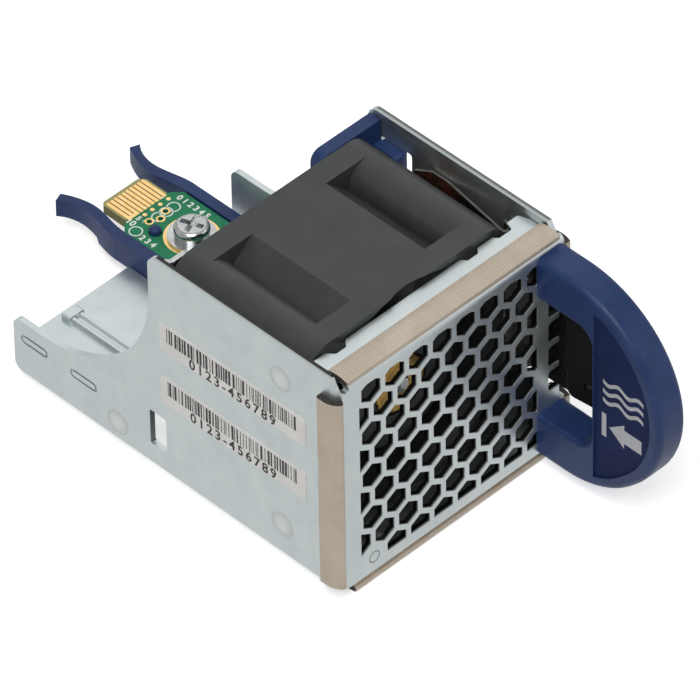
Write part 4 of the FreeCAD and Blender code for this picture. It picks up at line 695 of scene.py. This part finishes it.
def tongue_skin(low, high, foot):
    """Bare laminate round the tongue, a hair proud of the board on every side."""
    skin = LAMINATE_SKIN
    fingers_low, fingers_high = (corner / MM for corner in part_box("contact_fingers"))
    left = fingers_low.x - TONGUE_SIDE - skin
    right = fingers_high.x + TONGUE_SIDE + skin
    front = foot + TONGUE_START
    back = high.y / MM + skin
    outline = [(left, front), (right, front), (right, back - TONGUE_CORNER_RIGHT),
               (right - TONGUE_CORNER_RIGHT, back), (left + TONGUE_CORNER_LEFT, back),
               (left, back - TONGUE_CORNER_LEFT)]

    def from_bottom(u, v, height):
        return mm(u, v, low.z / MM - skin + height)

    def from_top(u, v, height):
        return mm(u, v, high.z / MM + height)

    def from_skin(u, v, height):
        return from_top(u, v, skin + height)

    flat_piece("tongue_laminate", [outline], from_bottom, (high.z - low.z) / MM + 2 * skin, LAMINATE)
    field = rectangle(fingers_low.x, fingers_high.x, foot + FINGER_START, fingers_high.y)
    flat_piece("finger_gaps", [field], from_skin, GAP_THICKNESS, GAP_BROWN)
    start, end = (foot + reach for reach in JOINED_REACH)
    joined = [rectangle(a + JOINED_CLEARANCE, b - JOINED_CLEARANCE, start, end) for a, b in JOINED_GAPS]
    flat_piece("joined_fingers", joined, from_top, JOINED_THICKNESS, MATERIALS["gold_contact"])


def gasket_ends():
    """Dark foam core on the cut ends of each gasket."""
    for name in ("gasket_top", "gasket_bottom"):
        paint_faces(name, FOAM, lambda centre, normal: abs(normal.x) > FACING)
    for name in ("gasket_left", "gasket_right"):
        paint_faces(name, FOAM, lambda centre, normal: abs(normal.z) > FACING)


def handle_panel():
    """Matt floor of the handle's sunken panel, its darker blue a painted shade."""
    def sunken(centre, normal):
        return normal.x < -FACING and abs(centre.x - PANEL_X) < PANEL_NEAR

    paint_faces("pull_handle", PANEL_SHADED_BLUE, sunken)


def studio():
    """Pale floor, three soft lamps and an even world."""
    centre = (cad_low + cad_high) / 2
    mesh = bpy.data.meshes.new("studio_floor")
    z = cad_low.z - FLOOR_DROP * MM
    corners = [(x, y, z) for x, y in rectangle(-FLOOR_HALF, FLOOR_HALF, -FLOOR_HALF, FLOOR_HALF)]
    mesh.from_pydata(corners, [], [(0, 1, 2, 3)])
    floor = bpy.data.objects.new("studio_floor", mesh)
    bpy.context.scene.collection.objects.link(floor)
    floor.data.materials.append(floor_paint())
    for name, (offset, size, power) in LAMPS.items():
        area_light(name, centre + Vector(offset), centre, size, power)
    studio_world()


def studio_world():
    """White where the camera looks past the floor, calmer light on the object."""
    world = bpy.data.worlds.new("studio")
    bpy.context.scene.world = world
    world.use_nodes = True
    tree = world.node_tree
    background = tree.nodes["Background"]
    background.inputs["Color"].default_value = (1, 1, 1, 1)
    path = tree.nodes.new("ShaderNodeLightPath")
    soft = tree.nodes.new("ShaderNodeMapRange")
    tree.links.new(path.outputs["Is Glossy Ray"], soft.inputs["Value"])
    soft.inputs["To Min"].default_value = WORLD_SOFT
    soft.inputs["To Max"].default_value = WORLD_MIRRORED
    strength = tree.nodes.new("ShaderNodeMapRange")
    tree.links.new(path.outputs["Is Camera Ray"], strength.inputs["Value"])
    tree.links.new(soft.outputs["Result"], strength.inputs["To Min"])
    strength.inputs["To Max"].default_value = WORLD_SEEN
    tree.links.new(strength.outputs["Result"], background.inputs["Strength"])


def floor_paint():
    """Matt floor that keeps the object's shadow, is lifted to white for the camera, and
    shows as an even tone in reflections."""
    g = Graph("studio_floor")
    g.finish((0.9, 0.9, 0.9, 1), 0.9, specular=0.0)
    path = g.add("ShaderNodeLightPath")
    seen = path.outputs["Is Camera Ray"]
    mirrored = path.outputs["Is Glossy Ray"]
    glow = g.add("ShaderNodeEmission")
    glow.inputs["Color"].default_value = (1, 1, 1, 1)
    g.join(g.maths("ADD", g.maths("MULTIPLY", seen, FLOOR_LIFT),
                   g.maths("MULTIPLY", mirrored, FLOOR_MIRRORED)), glow.inputs["Strength"])
    lifted = g.add("ShaderNodeAddShader")
    g.join(g.shader.outputs[0], lifted.inputs[0])
    g.join(glow.outputs[0], lifted.inputs[1])
    mix = g.add("ShaderNodeMixShader")
    g.join(mirrored, mix.inputs["Fac"])
    g.join(lifted.outputs[0], mix.inputs[1])
    g.join(glow.outputs[0], mix.inputs[2])
    g.join(mix.outputs[0], g.tree.nodes["Material Output"].inputs["Surface"])
    return g.material


def area_light(name, place, target, size, power):
    """Square lamp that faces its target."""
    lamp = bpy.data.lights.new(name, "AREA")
    lamp.size = size
    lamp.energy = power
    holder = bpy.data.objects.new(name, lamp)
    bpy.context.scene.collection.objects.link(holder)
    holder.location = place
    holder.rotation_euler = (target - place).to_track_quat("-Z", "Y").to_euler()


def photo_camera():
    """Camera at the photograph's place, turn and focal length."""
    data = bpy.data.cameras.new("photo_camera")
    data.sensor_width = SENSOR_WIDTH
    data.lens = FOCAL_PIXELS / PHOTO_SIZE * SENSOR_WIDTH
    data.clip_start, data.clip_end = CLIP_RANGE
    camera = bpy.data.objects.new("photo_camera", data)
    bpy.context.scene.collection.objects.link(camera)
    azimuth, elevation = math.radians(CAMERA_AZIMUTH), math.radians(CAMERA_ELEVATION)
    back = Vector((math.sin(azimuth) * math.cos(elevation), -math.cos(azimuth) * math.cos(elevation),
                   math.sin(elevation)))
    level = (-back).to_track_quat("-Z", "Y").to_matrix().to_4x4()
    turned = level @ Matrix.Rotation(math.radians(CAMERA_ROLL), 4, "Z")
    camera.matrix_world = Matrix.Translation(mm(*CAMERA_PLACE)) @ turned
    bpy.context.scene.camera = camera


photo_camera()
dress_cad_nodes()
sheet_edges()
rivet_ring()
wall_labels()
handle_panel()
handle_print()
board_details()
gasket_ends()
studio()
bpy.context.scene.view_settings.view_transform = "Standard"
